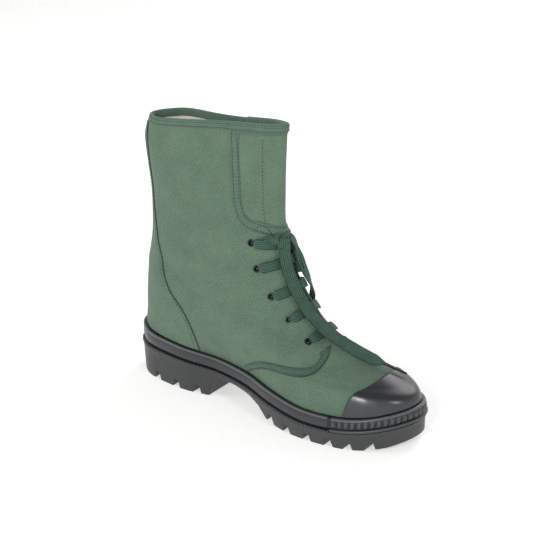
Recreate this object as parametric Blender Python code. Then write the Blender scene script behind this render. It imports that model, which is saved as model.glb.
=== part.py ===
"""Right-foot tactical boot: green canvas upper on a lugged rubber sole.

Sizes are millimetres in the last's own frame: x runs forward from the back of the upper's
heel, y to the medial side and z up from the floor.  MM turns them into metres, and ORIGIN is
the point under the middle of the boot that becomes the world's origin.

The upper is a stack of closed sections, level 0 at the feather line to LEVEL_TOP at the
collar.  Round each section an angle runs from 0 at the heel to pi at the front, positive on
the lateral side.  Wall, overlays, tongue and lace all lie on this one surface.
"""
import math

import bmesh
import bpy
import numpy as np

MM = 0.001
ORIGIN = np.array((153.25, -2.15, 0.0))
GAP = 0.35
MERGE = 0.002
SHARP_ANGLE = math.radians(40)
# Small step in level or angle for slopes, and how finely a curve is measured or searched
STEP = 0.01
SAMPLES = 300
# Least angle between a strip's end and the next column of the upper
COLUMN_CLEAR = 0.02

SOLE_BACK = -6.0
SOLE_LENGTH = 317.0
TOE_SWING = 3.0
FEATHER_INSET = 7.2
BAND_INSET = 6.4
COLUMNS = 44

# Outsole edge from above: place along the sole and half-width on each side
SOLE_OUTLINE = (
    # x, lateral, medial
    (16.0, 28.5, 26.5),
    (40.0, 34.5, 33.0),
    (70.0, 36.5, 34.0),
    (105.0, 31.5, 29.5),
    (140.0, 35.5, 30.5),
    (175.0, 47.5, 38.5),
    (210.0, 53.5, 46.0),
    (245.0, 51.0, 48.0),
    (275.0, 41.5, 42.5),
    (298.0, 25.5, 28.5),
)

# Top of the outsole and top of the rubber band above it, along the sole
SOLE_HEIGHTS = (
    # x, seat, band
    (-6.0, 32.0, 50.0),
    (30.0, 31.3, 47.0),
    (70.0, 30.0, 44.5),
    (120.0, 25.5, 39.5),
    (170.0, 22.0, 36.5),
    (225.0, 16.7, 30.7),
    (270.0, 18.3, 32.3),
    (310.0, 26.3, 40.8),
)

# Underside of the outsole: rounded heel edge, breast, arch, flat tread, toe spring
UNDERSIDE = (
    # x, z
    (-16.0, 14.0),
    (-3.0, 5.0),
    (5.0, 0.0),
    (95.0, 0.0),
    (105.0, 21.5),
    (128.0, 21.5),
    (148.0, 18.5),
    (162.0, 13.5),
    (172.0, 4.0),
    (186.0, 1.2),
    (198.0, 0.0),
    (262.0, 0.0),
    (278.0, 2.0),
    (294.0, 5.5),
    (320.0, 15.0),
)
UNDERSIDE_DEPTH = 15.0
LUG_NOTCHES = (32.0, 58.0, 82.5, 178.0, 199.0, 222.0, 244.0, 262.0, 281.0)
NOTCH_WIDTH = 9.0
NOTCH_CROWN = 5.0
NOTCH_DEPTH = 8.0
NOTCH_REACH = 18.0
SIDE_REACH = 90.0

# Side wall of the outsole from the floor to its lip: height, counted from the floor or
# back from the seat, inset from the outline, and how much of the sole's taper it takes
OUTSOLE_WALL = (
    # from_floor, height, inset, taper
    (True, -3.0, 0.0, 1.0),
    (False, -6.5, 0.6, 0.25),
    (False, -2.4, 0.5, 0.0),
    (False, -1.2, 0.0, 0.0),
    (False, 0.0, 0.6, 0.0),
)
# How far the tread's edge lies inside the lip, along the sole
TAPER = (
    # x, inset
    (-6.0, 2.2),
    (110.0, 2.2),
    (170.0, 4.5),
    (250.0, 4.5),
    (311.0, 0.8),
)

# Band round heel and sides: a groove under a rounded strip; share is of the band's height
FOXING_SECTION = (
    # inset, share
    (4.2, 0.00),
    (4.2, 0.17),
    (2.2, 0.22),
    (1.6, 0.45),
    (2.1, 0.80),
    (3.6, 0.97),
)
# Bumper round the toe: bead, ribbed strip and top lip; rib tells how far the ribs stand out
BUMPER_SECTION = (
    # inset, share, rib
    (1.4, 0.00, 0.0),
    (-1.5, 0.14, 0.0),
    (-0.8, 0.28, 0.0),
    (0.9, 0.33, 1.0),
    (1.5, 0.76, 1.0),
    (0.9, 0.82, 0.0),
    (1.6, 0.94, 0.0),
    (3.6, 1.00, 0.0),
)
BUMPER_START = 247.0
RIB_PITCH = 6.0

# The last's sections: back and front point in side view, the front's lean to the medial
# side, and the half-widths at four stations from heel to toe, lateral then medial
LAST_SECTIONS = (
    # back_x, back_z, front_x, front_z, front_y, l_heel, l_waist, l_ball, l_toe,
    # m_heel, m_waist, m_ball, m_toe
    (2.2, 66.5, 301.0, 47.0, 3.0, 29.5, 33.0, 44.0, 33.0, 28.5, 31.0, 34.5, 30.5),
    (3.3, 80.5, 287.5, 52.5, 3.0, 30.0, 34.5, 40.5, 27.5, 28.5, 33.0, 31.5, 23.0),
    (5.0, 94.5, 262.5, 62.0, 2.5, 30.0, 34.5, 38.0, 22.0, 28.5, 33.0, 29.0, 17.0),
    (7.0, 109.5, 237.0, 73.0, 2.0, 29.0, 33.5, 35.0, 21.0, 28.0, 32.5, 30.0, 17.5),
    (8.5, 121.5, 216.0, 82.0, 1.5, 28.0, 32.5, 32.5, 22.0, 27.0, 32.0, 30.0, 20.0),
    (11.5, 134.5, 201.0, 96.5, 1.0, 26.5, 31.5, 30.0, 20.0, 26.0, 31.0, 28.5, 18.5),
    (14.5, 151.5, 185.0, 117.5, 0.5, 25.0, 29.5, 27.0, 18.0, 25.0, 29.5, 26.5, 17.5),
    (15.5, 170.5, 170.5, 146.0, 0.0, 23.5, 27.5, 24.0, 15.5, 23.5, 27.5, 24.0, 15.5),
    (15.0, 192.5, 162.0, 178.0, 0.0, 22.0, 25.0, 21.0, 13.0, 22.0, 25.0, 20.5, 13.0),
    (11.5, 217.5, 162.0, 210.0, 0.0, 20.5, 21.0, 16.0, 10.5, 21.0, 20.5, 15.0, 10.5),
    (8.5, 242.0, 163.5, 245.0, 0.0, 19.0, 17.5, 12.0, 9.0, 20.0, 16.0, 10.5, 9.0),
    (14.5, 261.0, 165.5, 274.5, 0.0, 17.0, 14.0, 8.5, 7.5, 20.0, 14.0, 8.0, 7.5),
)
STATIONS = np.array((0.12, 0.40, 0.70, 0.90))
LEVEL_TOP = len(LAST_SECTIONS) + 1.0
LEVEL_BAND = 1.0
LEVEL_THROAT = 6.0
LEVELS = (0, 1, 1.5, 2, 2.5, 3, 4, 5, 5.5, 6, 6.3, 7, 7.7, 8.4, 9.2, 10, 11, 12, 13)

CANVAS_WALL = 1.8
THROAT_HALF_GAP = 7.0
THROAT_ROUND = 0.9
SHAFT_MIDDLE = 120.0
TONGUE_THICK = 2.0
TONGUE_HALF_WIDTH = 24.0
TONGUE_COLUMNS = 10
TONGUE_DROP = 0.5
TONGUE_LEVELS = (5.0, 5.5, 6.0, 6.3, 7.0, 7.7, 8.4, 9.2, 10.0, 10.6)
INSOLE_THICK = 3.0
INSOLE_INSET = FEATHER_INSET + CANVAS_WALL + 0.6

OVERLAY_FOOT = LEVEL_BAND + 0.07
CAP_LIFT = 0.7
CAP_THICK = 2.0
CAP_REAR = 272.5
CAP_SWEEP = 17.5
CAP_SWEEP_WIDTH = 45.0
CAP_ROWS = 9
CAP_COLUMNS = 20
CAP_ROW_BUNCH = 2.0
CAP_CROWN_LEVELS = (2.0, 5.0)
COUNTER_THICK = 0.9
COUNTER_TOP = 12.6
# Front edge of the backstay in side view
COUNTER_EDGE = (
    # z, x
    (44.0, 84.5),
    (66.5, 80.5),
    (85.0, 70.0),
    (101.0, 54.0),
    (120.5, 44.0),
    (141.5, 38.5),
    (177.5, 28.5),
    (229.5, 21.5),
    (262.0, 17.0),
)

# Lower edge of the quarter over the vamp in side view, from the throat to the band
QUARTER_EDGE = (
    # x, z
    (219.0, 79.8),
    (223.8, 75.2),
    (224.6, 69.6),
    (221.0, 61.4),
    (210.5, 57.0),
    (196.0, 55.0),
    (180.0, 54.0),
    (165.0, 51.0),
    (150.0, 43.5),
    (143.0, 38.5),
)
SEAM_WIDTH = 7.5
SEAM_THICK = 0.8
SEAM_STEPS = 26
SEAM_LIFT = 1.2

FLAP_THICK = 1.8
FLAP_COLUMNS = 20
FLAP_LIFT = 0.9
FLAP_MEDIAL_EDGE = 122.0
# Rows of the flap from its hem up: its lateral edge in side view and the height at the front
FLAP_ROWS = (
    # edge_z, edge_x, front_z
    (173.5, 149.0, 170.5),
    (177.5, 135.5, 173.0),
    (185.5, 126.5, 180.0),
    (200.5, 121.0, 197.0),
    (215.0, 119.0, 213.5),
    (230.0, 117.5, 230.0),
    (247.0, 116.0, 249.0),
)
FLAP_TOP_EDGE = 113.5
BINDING_DROP = 6.5
BINDING_THICK = 0.9
BINDING_CROWN = 1.25
BINDING_END_GAP = 2.1

# Eyelets in side view, from the lowest up
EYELETS = (
    # x, z
    (203.5, 82.0),
    (182.0, 98.5),
    (163.5, 117.0),
    (147.5, 140.5),
    (140.0, 163.5),
)
EYELET_SEGMENTS = 8
EYELET_LIFT = 0.8
EYELET_PROFILE = (
    # radius, height
    (2.1, 0.0),
    (4.1, 0.0),
    (3.7, 0.8),
    (2.1, 0.8),
)
LACE_WIDTH = 8.0
LACE_THICK = 1.5
LACE_CLEAR = 1.6
LACE_COLUMNS = 12
# Height of the top bar at the front, under the flap's hem
LACE_TOP = 164.0

KNOT_LEVEL = 9.58
KNOT_TURN = 4.0
KNOT_OFFSET = 8.5
KNOT_RADII = (7.5, 5.5, 4.6)
KNOT_RINGS = 6
KNOT_SEGMENTS = 8
CORD_RADIUS = 1.5
CORD_STEP = 8.0
AGLET_RADIUS = 1.3
AGLET_LENGTH = 20.0
# Free lace ends from the knot to the tip: level, angle from the front in degrees (positive
# on the lateral side) and height above the surface
LACE_END_LATERAL = (
    # level, turn, height
    (9.44, 12.4, 8.0),
    (9.19, 13.2, 6.6),
    (8.86, 14.7, 6.2),
    (8.5, 15.4, 6.2),
    (8.13, 15.0, 6.2),
    (7.68, 14.5, 6.2),
    (7.17, 13.4, 6.2),
    (6.65, 10.5, 6.2),
    (5.82, 6.5, 5.6),
    (5.01, 3.4, 5.0),
    (4.41, -2.0, 5.2),
    (4.1, -7.4, 5.6),
    (3.89, -11.2, 5.9),
    (3.7, -13.7, 5.9),
)
LACE_END_MEDIAL = (
    # level, turn, height
    (9.445, -2.8, 9.0),
    (9.08, -6.2, 8.7),
    (8.75, -7.8, 8.3),
    (8.42, -10.5, 7.8),
    (8.12, -17.0, 6.8),
    (7.82, -27.0, 6.0),
    (7.4, -37.0, 5.8),
    (6.9, -46.0, 5.6),
    (6.3, -53.0, 5.2),
    (5.6, -59.0, 4.6),
    (4.9, -64.0, 4.4),
    (4.3, -68.0, 4.8),
    (3.75, -71.5, 5.2),
)

# Finishes: colour, roughness and metallic value
CANVAS_GREEN = ((0.139, 0.226, 0.155, 1.0), 0.9, 0.0)
TAPE_GREEN = ((0.062, 0.129, 0.091, 1.0), 0.85, 0.0)
SOLE_BLACK = ((0.042, 0.043, 0.045, 1.0), 0.55, 0.0)
CAP_BLACK = ((0.058, 0.059, 0.063, 1.0), 0.4, 0.0)
METAL_BLACK = ((0.012, 0.012, 0.013, 1.0), 0.35, 0.9)
LINING_CREAM = ((0.62, 0.56, 0.44, 1.0), 0.9, 0.0)


def curve(knots, values, where):
    """Smooth curve through a table's points: cubic pieces with three-point slopes."""
    knots = np.asarray(knots, float)
    values = np.asarray(values, float)
    where = np.clip(where, knots[0], knots[-1])
    span = np.diff(knots)
    chord = np.diff(values) / span
    inner = (chord[:-1] * span[1:] + chord[1:] * span[:-1]) / (span[:-1] + span[1:])
    slope = np.concatenate((chord[:1], inner, chord[-1:]))
    i = np.clip(np.searchsorted(knots, where, side="right") - 1, 0, len(span) - 1)
    s = (where - knots[i]) / span[i]
    start = values[i] * (1 + 2 * s) * (1 - s) ** 2 + slope[i] * span[i] * s * (1 - s) ** 2
    end = values[i + 1] * s * s * (3 - 2 * s) + slope[i + 1] * span[i] * s * s * (s - 1)
    return start + end


def column(table, index):
    return np.array([row[index] for row in table])


HEIGHT_X, SEAT, BAND = (column(SOLE_HEIGHTS, k) for k in range(3))
OUTLINE_T = (column(SOLE_OUTLINE, 0) - SOLE_BACK) / SOLE_LENGTH
OUTLINE_ROUND = 2 * np.sqrt(OUTLINE_T * (1 - OUTLINE_T))
LATERAL_FULL = (column(SOLE_OUTLINE, 1) + TOE_SWING * OUTLINE_T ** 2) / OUTLINE_ROUND
MEDIAL_FULL = (column(SOLE_OUTLINE, 2) - TOE_SWING * OUTLINE_T ** 2) / OUTLINE_ROUND
STATION_ROUND = 2 * np.sqrt(STATIONS * (1 - STATIONS))


def sole_edge(angle):
    """The outsole's outline from above at the given angles."""
    t = (1 - np.cos(angle)) / 2
    lateral = curve(OUTLINE_T, LATERAL_FULL, t)
    medial = curve(OUTLINE_T, MEDIAL_FULL, t)
    full = np.where(np.sin(angle) > 0, lateral, medial)
    return np.stack((SOLE_BACK + SOLE_LENGTH * t, TOE_SWING * t * t - full * np.sin(angle)), -1)


def sole_ring(angle, inset):
    """The outline moved inwards by an inset."""
    along = sole_edge(angle + STEP) - sole_edge(angle - STEP)
    along /= np.linalg.norm(along, axis=-1, keepdims=True)
    inward = np.stack((-along[..., 1], along[..., 0]), -1)
    return sole_edge(angle) + np.asarray(inset)[..., None] * inward


def sole_point(angle, inset, share):
    """A point on the rubber's side, by its share of the band's height above the seat."""
    flat = sole_ring(angle, inset)
    seat = curve(HEIGHT_X, SEAT, flat[..., 0]) + GAP
    band = curve(HEIGHT_X, BAND, flat[..., 0])
    return np.concatenate((flat, (seat + share * (band - seat))[..., None]), -1)


def sections(angle):
    """The points of every section at the given angles, sections first."""
    t = (1 - np.cos(angle)) / 2
    lateral = np.sin(angle) > 0
    rows = [sole_point(angle, FEATHER_INSET, 0.0), sole_point(angle, BAND_INSET, 1.0)]
    for back_x, back_z, front_x, front_z, front_y, *widths in LAST_SECTIONS:
        full = np.array(widths).reshape(2, 4) / STATION_ROUND
        outer = curve(STATIONS, full[0], t)
        inner = curve(STATIONS, full[1], t)
        y = front_y * t * t - np.where(lateral, outer, inner) * np.sin(angle)
        x = back_x + (front_x - back_x) * t
        z = back_z + (front_z - back_z) * t
        rows.append(np.stack((x, y, z), -1))
    return np.array(rows)


def last(level, angle):
    """A point of the last's surface, smooth between its sections."""
    level, angle = np.broadcast_arrays(np.asarray(level, float), np.asarray(angle, float))
    shape = level.shape
    level = level.ravel()
    rows = sections(angle.ravel())
    slope = np.gradient(rows, axis=0)
    i = np.clip(np.floor(level).astype(int), 0, len(rows) - 2)
    s = (level - i)[:, None]
    n = np.arange(len(level))
    start = rows[i, n] * (1 + 2 * s) * (1 - s) ** 2 + slope[i, n] * s * (1 - s) ** 2
    end = rows[i + 1, n] * s * s * (3 - 2 * s) + slope[i + 1, n] * s * s * (s - 1)
    return (start + end).reshape(shape + (3,))


def normal(level, angle):
    """The surface's outward direction."""
    level = np.asarray(level, float)
    along = last(level, angle + STEP) - last(level, angle - STEP)
    up = last(np.minimum(level + STEP, LEVEL_TOP), angle) - last(np.maximum(level - STEP, 0), angle)
    out = np.cross(along, up)
    return out / np.linalg.norm(out, axis=-1, keepdims=True)


def skin(level, angle, height):
    """A point at a height above the last's surface."""
    height = np.asarray(height, float)[..., None]
    return last(level, angle) + height * normal(level, angle)


def angle_at(level, reached, side):
    """The angle on one side where a rising quantity of the surface's point reaches zero."""
    angles = np.linspace(0.0, math.pi, SAMPLES)
    values = reached(last(level, side * angles))
    return side * np.interp(0.0, values, angles)


def locate(x, z, side):
    """Level and angle of the surface's point at a place in side view."""
    goal = np.array((x, z))
    levels = np.linspace(LEVEL_BAND, LEVEL_TOP, SAMPLES // 5)
    angles = np.linspace(STEP, math.pi - STEP, SAMPLES // 5)
    levels, angles = np.meshgrid(levels, angles)
    found = last(levels, side * angles)[..., (0, 2)]
    best = np.argmin(np.linalg.norm(found - goal, axis=-1))
    place = np.array((levels.ravel()[best], angles.ravel()[best]))
    for _ in range(8):
        here = last(place[0], side * place[1])[[0, 2]]
        by_level = (last(place[0] + STEP, side * place[1])[[0, 2]] - here) / STEP
        by_angle = (last(place[0], side * (place[1] + STEP))[[0, 2]] - here) / STEP
        place = place + np.linalg.solve(np.stack((by_level, by_angle), 1), goal - here)
        place = np.clip(place, (0.0, 0.0), (LEVEL_TOP, math.pi))
    return place[0], side * place[1]


def rise(level, angle):
    """Millimetres of surface to one level."""
    low = np.minimum(level, LEVEL_TOP - STEP)
    return np.linalg.norm(last(low + STEP, angle) - last(low, angle), axis=-1) / STEP


def surface_material(name, finish):
    colour, roughness, metallic = finish
    material = bpy.data.materials.new(name)
    material.use_nodes = True
    shader = material.node_tree.nodes["Principled BSDF"]
    shader.inputs["Base Color"].default_value = colour
    shader.inputs["Roughness"].default_value = roughness
    shader.inputs["Metallic"].default_value = metallic
    return material


def add_solid(name, points, faces, material):
    """A named object from points in millimetres, doubles merged and faces turned outwards."""
    mesh = bpy.data.meshes.new(name)
    places = (np.asarray(points, float) - ORIGIN) * MM
    mesh.from_pydata(places.tolist(), [], [[int(i) for i in face] for face in faces])
    form = bmesh.new()
    form.from_mesh(mesh)
    bmesh.ops.delete(form, geom=[v for v in form.verts if not v.link_faces], context="VERTS")
    bmesh.ops.remove_doubles(form, verts=form.verts, dist=MERGE * MM)
    bmesh.ops.recalc_face_normals(form, faces=form.faces)
    form.to_mesh(mesh)
    form.free()
    mesh.shade_smooth()
    mesh.set_sharp_from_angle(angle=SHARP_ANGLE)
    mesh.materials.append(material)
    solid = bpy.data.objects.new(name, mesh)
    bpy.context.collection.objects.link(solid)
    return solid


def add_wall(name, outer, inner, material, ring=False, joined_rows=0):
    """A closed wall between two grids of points, rows by columns.

    A ring closes on itself; joined_rows are the lowest rows whose two end columns are one.
    """
    rows, columns = outer.shape[:2]
    index = np.arange(rows * columns).reshape(rows, columns)
    if ring:
        index = np.concatenate((index, index[:, :1]), 1)
    index[:joined_rows, -1] = index[:joined_rows, 0]
    back = index + rows * columns
    faces = []
    for r in range(rows - 1):
        for c in range(index.shape[1] - 1):
            faces.append((index[r, c], index[r, c + 1], index[r + 1, c + 1], index[r + 1, c]))
            faces.append((back[r, c], back[r + 1, c], back[r + 1, c + 1], back[r, c + 1]))
    for r in (0, rows - 1):
        for c in range(index.shape[1] - 1):
            faces.append((index[r, c], back[r, c], back[r, c + 1], index[r, c + 1]))
    if not ring:
        for c in (0, -1):
            for r in range(max(joined_rows - 1, 0), rows - 1):
                faces.append((index[r, c], index[r + 1, c], back[r + 1, c], back[r, c]))
    points = np.concatenate((outer.reshape(-1, 3), inner.reshape(-1, 3)))
    return add_solid(name, points, faces, material)


def add_overlay(name, levels, angles, low, high, material):
    """A sheet over the surface between two heights, on grids of levels and angles."""
    return add_wall(name, skin(levels, angles, high), skin(levels, angles, low), material)


def add_band(name, loops, material, ring=False):
    """A solid whose cross-section loops (places by points) follow one another."""
    places, points = loops.shape[:2]
    index = np.arange(places * points).reshape(places, points)
    faces = []
    for a in range(places if ring else places - 1):
        b = (a + 1) % places
        for p in range(points):
            q = (p + 1) % points
            faces.append((index[a, p], index[b, p], index[b, q], index[a, q]))
    if not ring:
        faces.append(index[0])
        faces.append(index[-1][::-1])
    return add_solid(name, loops.reshape(-1, 3), faces, material)


def ladder(index):
    """Faces that close a ring of points, from one side to the other, heel to toe."""
    count = len(index)
    half = count // 2
    faces = [(index[0], index[1], index[count - 1])]
    for j in range(1, half - 1):
        faces.append((index[j], index[j + 1], index[count - j - 1], index[count - j]))
    faces.append((index[half - 1], index[half], index[half + 1]))
    return faces


def add_plate(name, rings, material):
    """A solid from rings of points, lowest first, closed across at both ends."""
    count = len(rings[0])
    index = np.arange(len(rings) * count).reshape(len(rings), count)
    faces = ladder(index[0]) + ladder(index[-1])
    for low, high in zip(index, index[1:]):
        for j in range(count):
            k = (j + 1) % count
            faces.append((low[j], low[k], high[k], high[j]))
    return add_solid(name, np.concatenate(rings), faces, material)


def add_prisms(name, profiles):
    """A hidden cutter: outlines in side view, each run across between two values of y."""
    points = []
    faces = []
    for outline, near, far in profiles:
        first = len(points)
        count = len(outline)
        points += [(x, near, z) for x, z in outline] + [(x, far, z) for x, z in outline]
        faces.append(range(first, first + count))
        faces.append(range(first + count, first + 2 * count))
        for j in range(count):
            k = (j + 1) % count
            faces.append((first + j, first + k, first + count + k, first + count + j))
    cutter = add_solid(name, points, faces, surface_material(name, SOLE_BLACK))
    cutter.hide_render = True
    cutter.display_type = "WIRE"
    return cutter


def cut(solid, cutter):
    step = solid.modifiers.new(cutter.name, "BOOLEAN")
    step.operation = "DIFFERENCE"
    step.solver = "EXACT"
    step.object = cutter


def ring_angles():
    return np.arange(COLUMNS) * 2 * math.pi / COLUMNS


def seat_ring(inset, lift):
    flat = sole_ring(ring_angles(), inset)
    z = curve(HEIGHT_X, SEAT, flat[:, 0]) + lift
    return np.concatenate((flat, z[:, None]), 1)


def make_outsole():
    """Outsole with its wall, then the underside and the lug notches cut away."""
    rings = []
    edge_x = sole_edge(ring_angles())[:, 0]
    taper = curve(column(TAPER, 0), column(TAPER, 1), edge_x)
    for from_floor, height, inset, share in OUTSOLE_WALL:
        ring = seat_ring(inset + share * taper, height)
        if from_floor:
            ring[:, 2] = height
        rings.append(ring)
    outsole = add_plate("outsole", rings, surface_material("outsole_rubber", SOLE_BLACK))
    ends = [(UNDERSIDE[-1][0], -UNDERSIDE_DEPTH), (UNDERSIDE[0][0], -UNDERSIDE_DEPTH)]
    cut(outsole, add_prisms("underside_cutter", [(list(UNDERSIDE) + ends, -SIDE_REACH, SIDE_REACH)]))
    notches = []
    for x in LUG_NOTCHES:
        floor = np.interp(x, column(UNDERSIDE, 0), column(UNDERSIDE, 1))
        low = floor - NOTCH_DEPTH
        high = floor + NOTCH_DEPTH
        crown = NOTCH_CROWN / 2
        foot = NOTCH_WIDTH - crown
        outline = [(x - foot, low), (x + foot, low), (x + crown, high), (x - crown, high)]
        lateral = np.interp(x, column(SOLE_OUTLINE, 0), column(SOLE_OUTLINE, 1)) - NOTCH_REACH
        medial = np.interp(x, column(SOLE_OUTLINE, 0), column(SOLE_OUTLINE, 2)) - NOTCH_REACH
        notches.append((outline, -SIDE_REACH, -lateral))
        notches.append((outline, medial, SIDE_REACH))
    cut(outsole, add_prisms("notch_cutter", notches))


def joint_angle(x):
    """Angle round the sole's outline at a place along it."""
    return math.acos(1 - 2 * (x - SOLE_BACK) / SOLE_LENGTH)


def inner_loop(angles):
    """The two points of a rubber strip that lie against the upper, from the top down."""
    return [skin(level, angles, GAP) for level in (LEVEL_BAND, 0.0)]


def make_foxing():
    """Rubber band round the heel and both sides, from joint to joint."""
    end = joint_angle(BUMPER_START - GAP / 2)
    columns = ring_angles() - math.pi
    inside = columns[np.abs(columns) < end - COLUMN_CLEAR]
    angles = np.concatenate(((-end,), inside, (end,)))
    loop = [sole_point(angles, inset, share) for inset, share in FOXING_SECTION]
    loops = np.stack(loop + inner_loop(angles), 1)
    add_band("foxing", loops, surface_material("foxing_rubber", SOLE_BLACK))


def make_toe_bumper():
    """Ribbed bumper round the toe, from joint to joint."""
    start = joint_angle(BUMPER_START + GAP / 2)
    fine = np.linspace(start, 2 * math.pi - start, SAMPLES)
    run = np.linalg.norm(np.diff(sole_edge(fine), axis=0), axis=1)
    length = np.concatenate(((0.0,), np.cumsum(run)))
    ribs = round(length[-1] / RIB_PITCH)
    angles = np.interp(np.linspace(0, length[-1], 2 * ribs + 1), length, fine)
    proud = np.arange(len(angles)) % 2
    loop = []
    for inset, share, rib in BUMPER_SECTION:
        flat = sole_point(angles, inset, share)
        raised = sole_point(angles, inset - rib, share)
        loop.append(np.where(proud[:, None] == 1, raised, flat))
    loops = np.stack(loop + inner_loop(angles), 1)
    add_band("toe_bumper", loops, surface_material("bumper_rubber", SOLE_BLACK))


def make_insole():
    rings = [seat_ring(INSOLE_INSET, GAP), seat_ring(INSOLE_INSET, GAP + INSOLE_THICK)]
    add_plate("insole", rings, surface_material("insole_cloth", LINING_CREAM))


def slit_angle(level):
    """Angle from the front to each edge of the open throat."""
    if level <= LEVEL_THROAT:
        return 0.0
    gap = THROAT_HALF_GAP * min(1.0, math.sqrt((level - LEVEL_THROAT) / THROAT_ROUND))

    def past_edge(p):
        return np.where(p[:, 0] < SHAFT_MIDDLE, -1.0, gap + p[:, 1])

    return math.pi - angle_at(level, past_edge, 1.0)


def upper_columns(level):
    """Angles of the upper's columns at a level, from one edge of the throat to the other."""
    return np.linspace(-1.0, 1.0, COLUMNS + 1) * (math.pi - slit_angle(level))


def make_upper():
    """Canvas wall from the feather line to the collar, open underneath, at throat and collar."""
    levels = np.repeat(np.array(LEVELS)[:, None], COLUMNS + 1, 1)
    angles = np.array([upper_columns(level) for level in LEVELS])
    joined = sum(level <= LEVEL_THROAT for level in LEVELS)
    outer = skin(levels, angles, 0.0)
    inner = skin(levels, angles, -CANVAS_WALL)
    canvas = surface_material("upper_canvas", CANVAS_GREEN)
    add_wall("upper", outer, inner, canvas, joined_rows=joined)


def make_tongue():
    """Canvas tongue under the throat, its sides tucked behind the quarters."""
    rows = []
    for level in TONGUE_LEVELS:
        edges = []
        for side in (1.0, -1.0):
            fine = np.linspace(0.0, math.pi / 2, SAMPLES)
            run = np.linalg.norm(np.diff(last(level, side * (math.pi - fine)), axis=0), axis=1)
            length = np.concatenate(((0.0,), np.cumsum(run)))
            edges.append(np.interp(TONGUE_HALF_WIDTH, length, fine))
        rows.append(np.linspace(math.pi - edges[0], math.pi + edges[1], TONGUE_COLUMNS + 1))
    angles = np.array(rows)
    levels = np.repeat(np.array(TONGUE_LEVELS)[:, None], angles.shape[1], 1)
    top = -CANVAS_WALL - TONGUE_DROP
    canvas = surface_material("tongue_canvas", CANVAS_GREEN)
    add_overlay("tongue", levels, angles, top - TONGUE_THICK, top, canvas)


def make_toe_cap():
    """Rubber cap over the toe, its rear edge bowed round the vamp."""
    def past_edge(p):
        aside = np.abs(p[:, 1] - TOE_SWING) / CAP_SWEEP_WIDTH
        return p[:, 0] - CAP_REAR + CAP_SWEEP * aside ** 2

    tops = np.linspace(*CAP_CROWN_LEVELS, SAMPLES)
    ridge = last(tops, np.full(SAMPLES, math.pi))
    crown = np.interp(0.0, -past_edge(ridge), tops)
    share = 1 - np.linspace(1.0, 0.0, CAP_ROWS) ** CAP_ROW_BUNCH
    rows = OVERLAY_FOOT + (crown - OVERLAY_FOOT) * share
    angles = []
    for level in rows:
        lateral = angle_at(level, past_edge, 1.0)
        medial = 2 * math.pi + angle_at(level, past_edge, -1.0)
        columns = np.linspace(0.0, 1.0, CAP_COLUMNS + 1)
        angles.append(lateral + (medial - lateral) * columns)
    angles = np.array(angles)
    levels = np.repeat(rows[:, None], angles.shape[1], 1)
    add_overlay("toe_cap", levels, angles, CAP_LIFT, CAP_LIFT + CAP_THICK,
                surface_material("cap_rubber", CAP_BLACK))


def below_collar(angle, drop):
    """Level that lies a drop under the collar's rim."""
    return LEVEL_TOP - drop / rise(LEVEL_TOP, angle)


def make_heel_counter():
    """Long backstay over the heel and the back seam, up to the collar's tape."""
    edge_z = column(COUNTER_EDGE, 0)
    edge_x = column(COUNTER_EDGE, 1)

    def past_edge(p):
        return p[:, 0] - curve(edge_z, edge_x, p[:, 2])

    levels = []
    angles = []
    between = [level for level in LEVELS if OVERLAY_FOOT < level < COUNTER_TOP]
    for level in [OVERLAY_FOOT] + between + [COUNTER_TOP]:
        left = angle_at(level, past_edge, -1.0)
        right = angle_at(level, past_edge, 1.0)
        row = np.clip(upper_columns(level), left, right)
        angles.append(row)
        levels.append(np.minimum(level, below_collar(row, BINDING_DROP + 2 * GAP)))
    add_overlay("heel_counter", np.array(levels), np.array(angles), GAP, GAP + COUNTER_THICK,
                surface_material("counter_canvas", CANVAS_GREEN))


def make_quarter_seam(name, side):
    """Raised taped edge of one quarter, a strip along its line in side view."""
    knots = np.arange(len(QUARTER_EDGE), dtype=float)
    where = np.linspace(0.0, knots[-1], SEAM_STEPS + 1)
    line = np.stack([curve(knots, column(QUARTER_EDGE, k), where) for k in (0, 1)], 1)
    along = np.gradient(line, axis=0)
    along /= np.linalg.norm(along, axis=1, keepdims=True)
    across = np.stack((-along[:, 1], along[:, 0]), 1)
    rows = []
    for reach in (0.0, -SEAM_WIDTH / 2, -SEAM_WIDTH):
        rows.append([locate(x, z, side) for x, z in line + reach * across])
    places = np.array(rows)
    levels = np.maximum(places[..., 0], OVERLAY_FOOT)
    add_overlay(name, levels, places[..., 1], SEAM_LIFT, SEAM_LIFT + SEAM_THICK,
                surface_material(name + "_tape", TAPE_GREEN))


def make_front_flap():
    """Closing flap round the front of the shaft, from the medial side to its bound edge."""
    share = np.linspace(0.0, 1.0, FLAP_COLUMNS + 1)
    levels = []
    angles = []
    for edge_z, edge_x, front_z in FLAP_ROWS:
        start = locate(edge_x, edge_z, 1.0)[1]
        end = locate(FLAP_MEDIAL_EDGE, edge_z, -1.0)[1] + 2 * math.pi
        row = start + (end - start) * share
        heights = edge_z + (front_z - edge_z) * np.sin(math.pi * share)
        angles.append(row)
        levels.append([level_at_height(angle, z) for angle, z in zip(row, heights)])
    start = angle_at(LEVEL_TOP, lambda p: p[:, 0] - FLAP_TOP_EDGE, 1.0)
    end = angle_at(LEVEL_TOP, lambda p: p[:, 0] - FLAP_MEDIAL_EDGE, -1.0) + 2 * math.pi
    angles.append(start + (end - start) * share)
    levels.append(np.full(len(share), LEVEL_TOP))
    add_overlay("front_flap", np.array(levels), np.array(angles), FLAP_LIFT, FLAP_LIFT + FLAP_THICK,
                surface_material("flap_canvas", CANVAS_GREEN))


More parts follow.
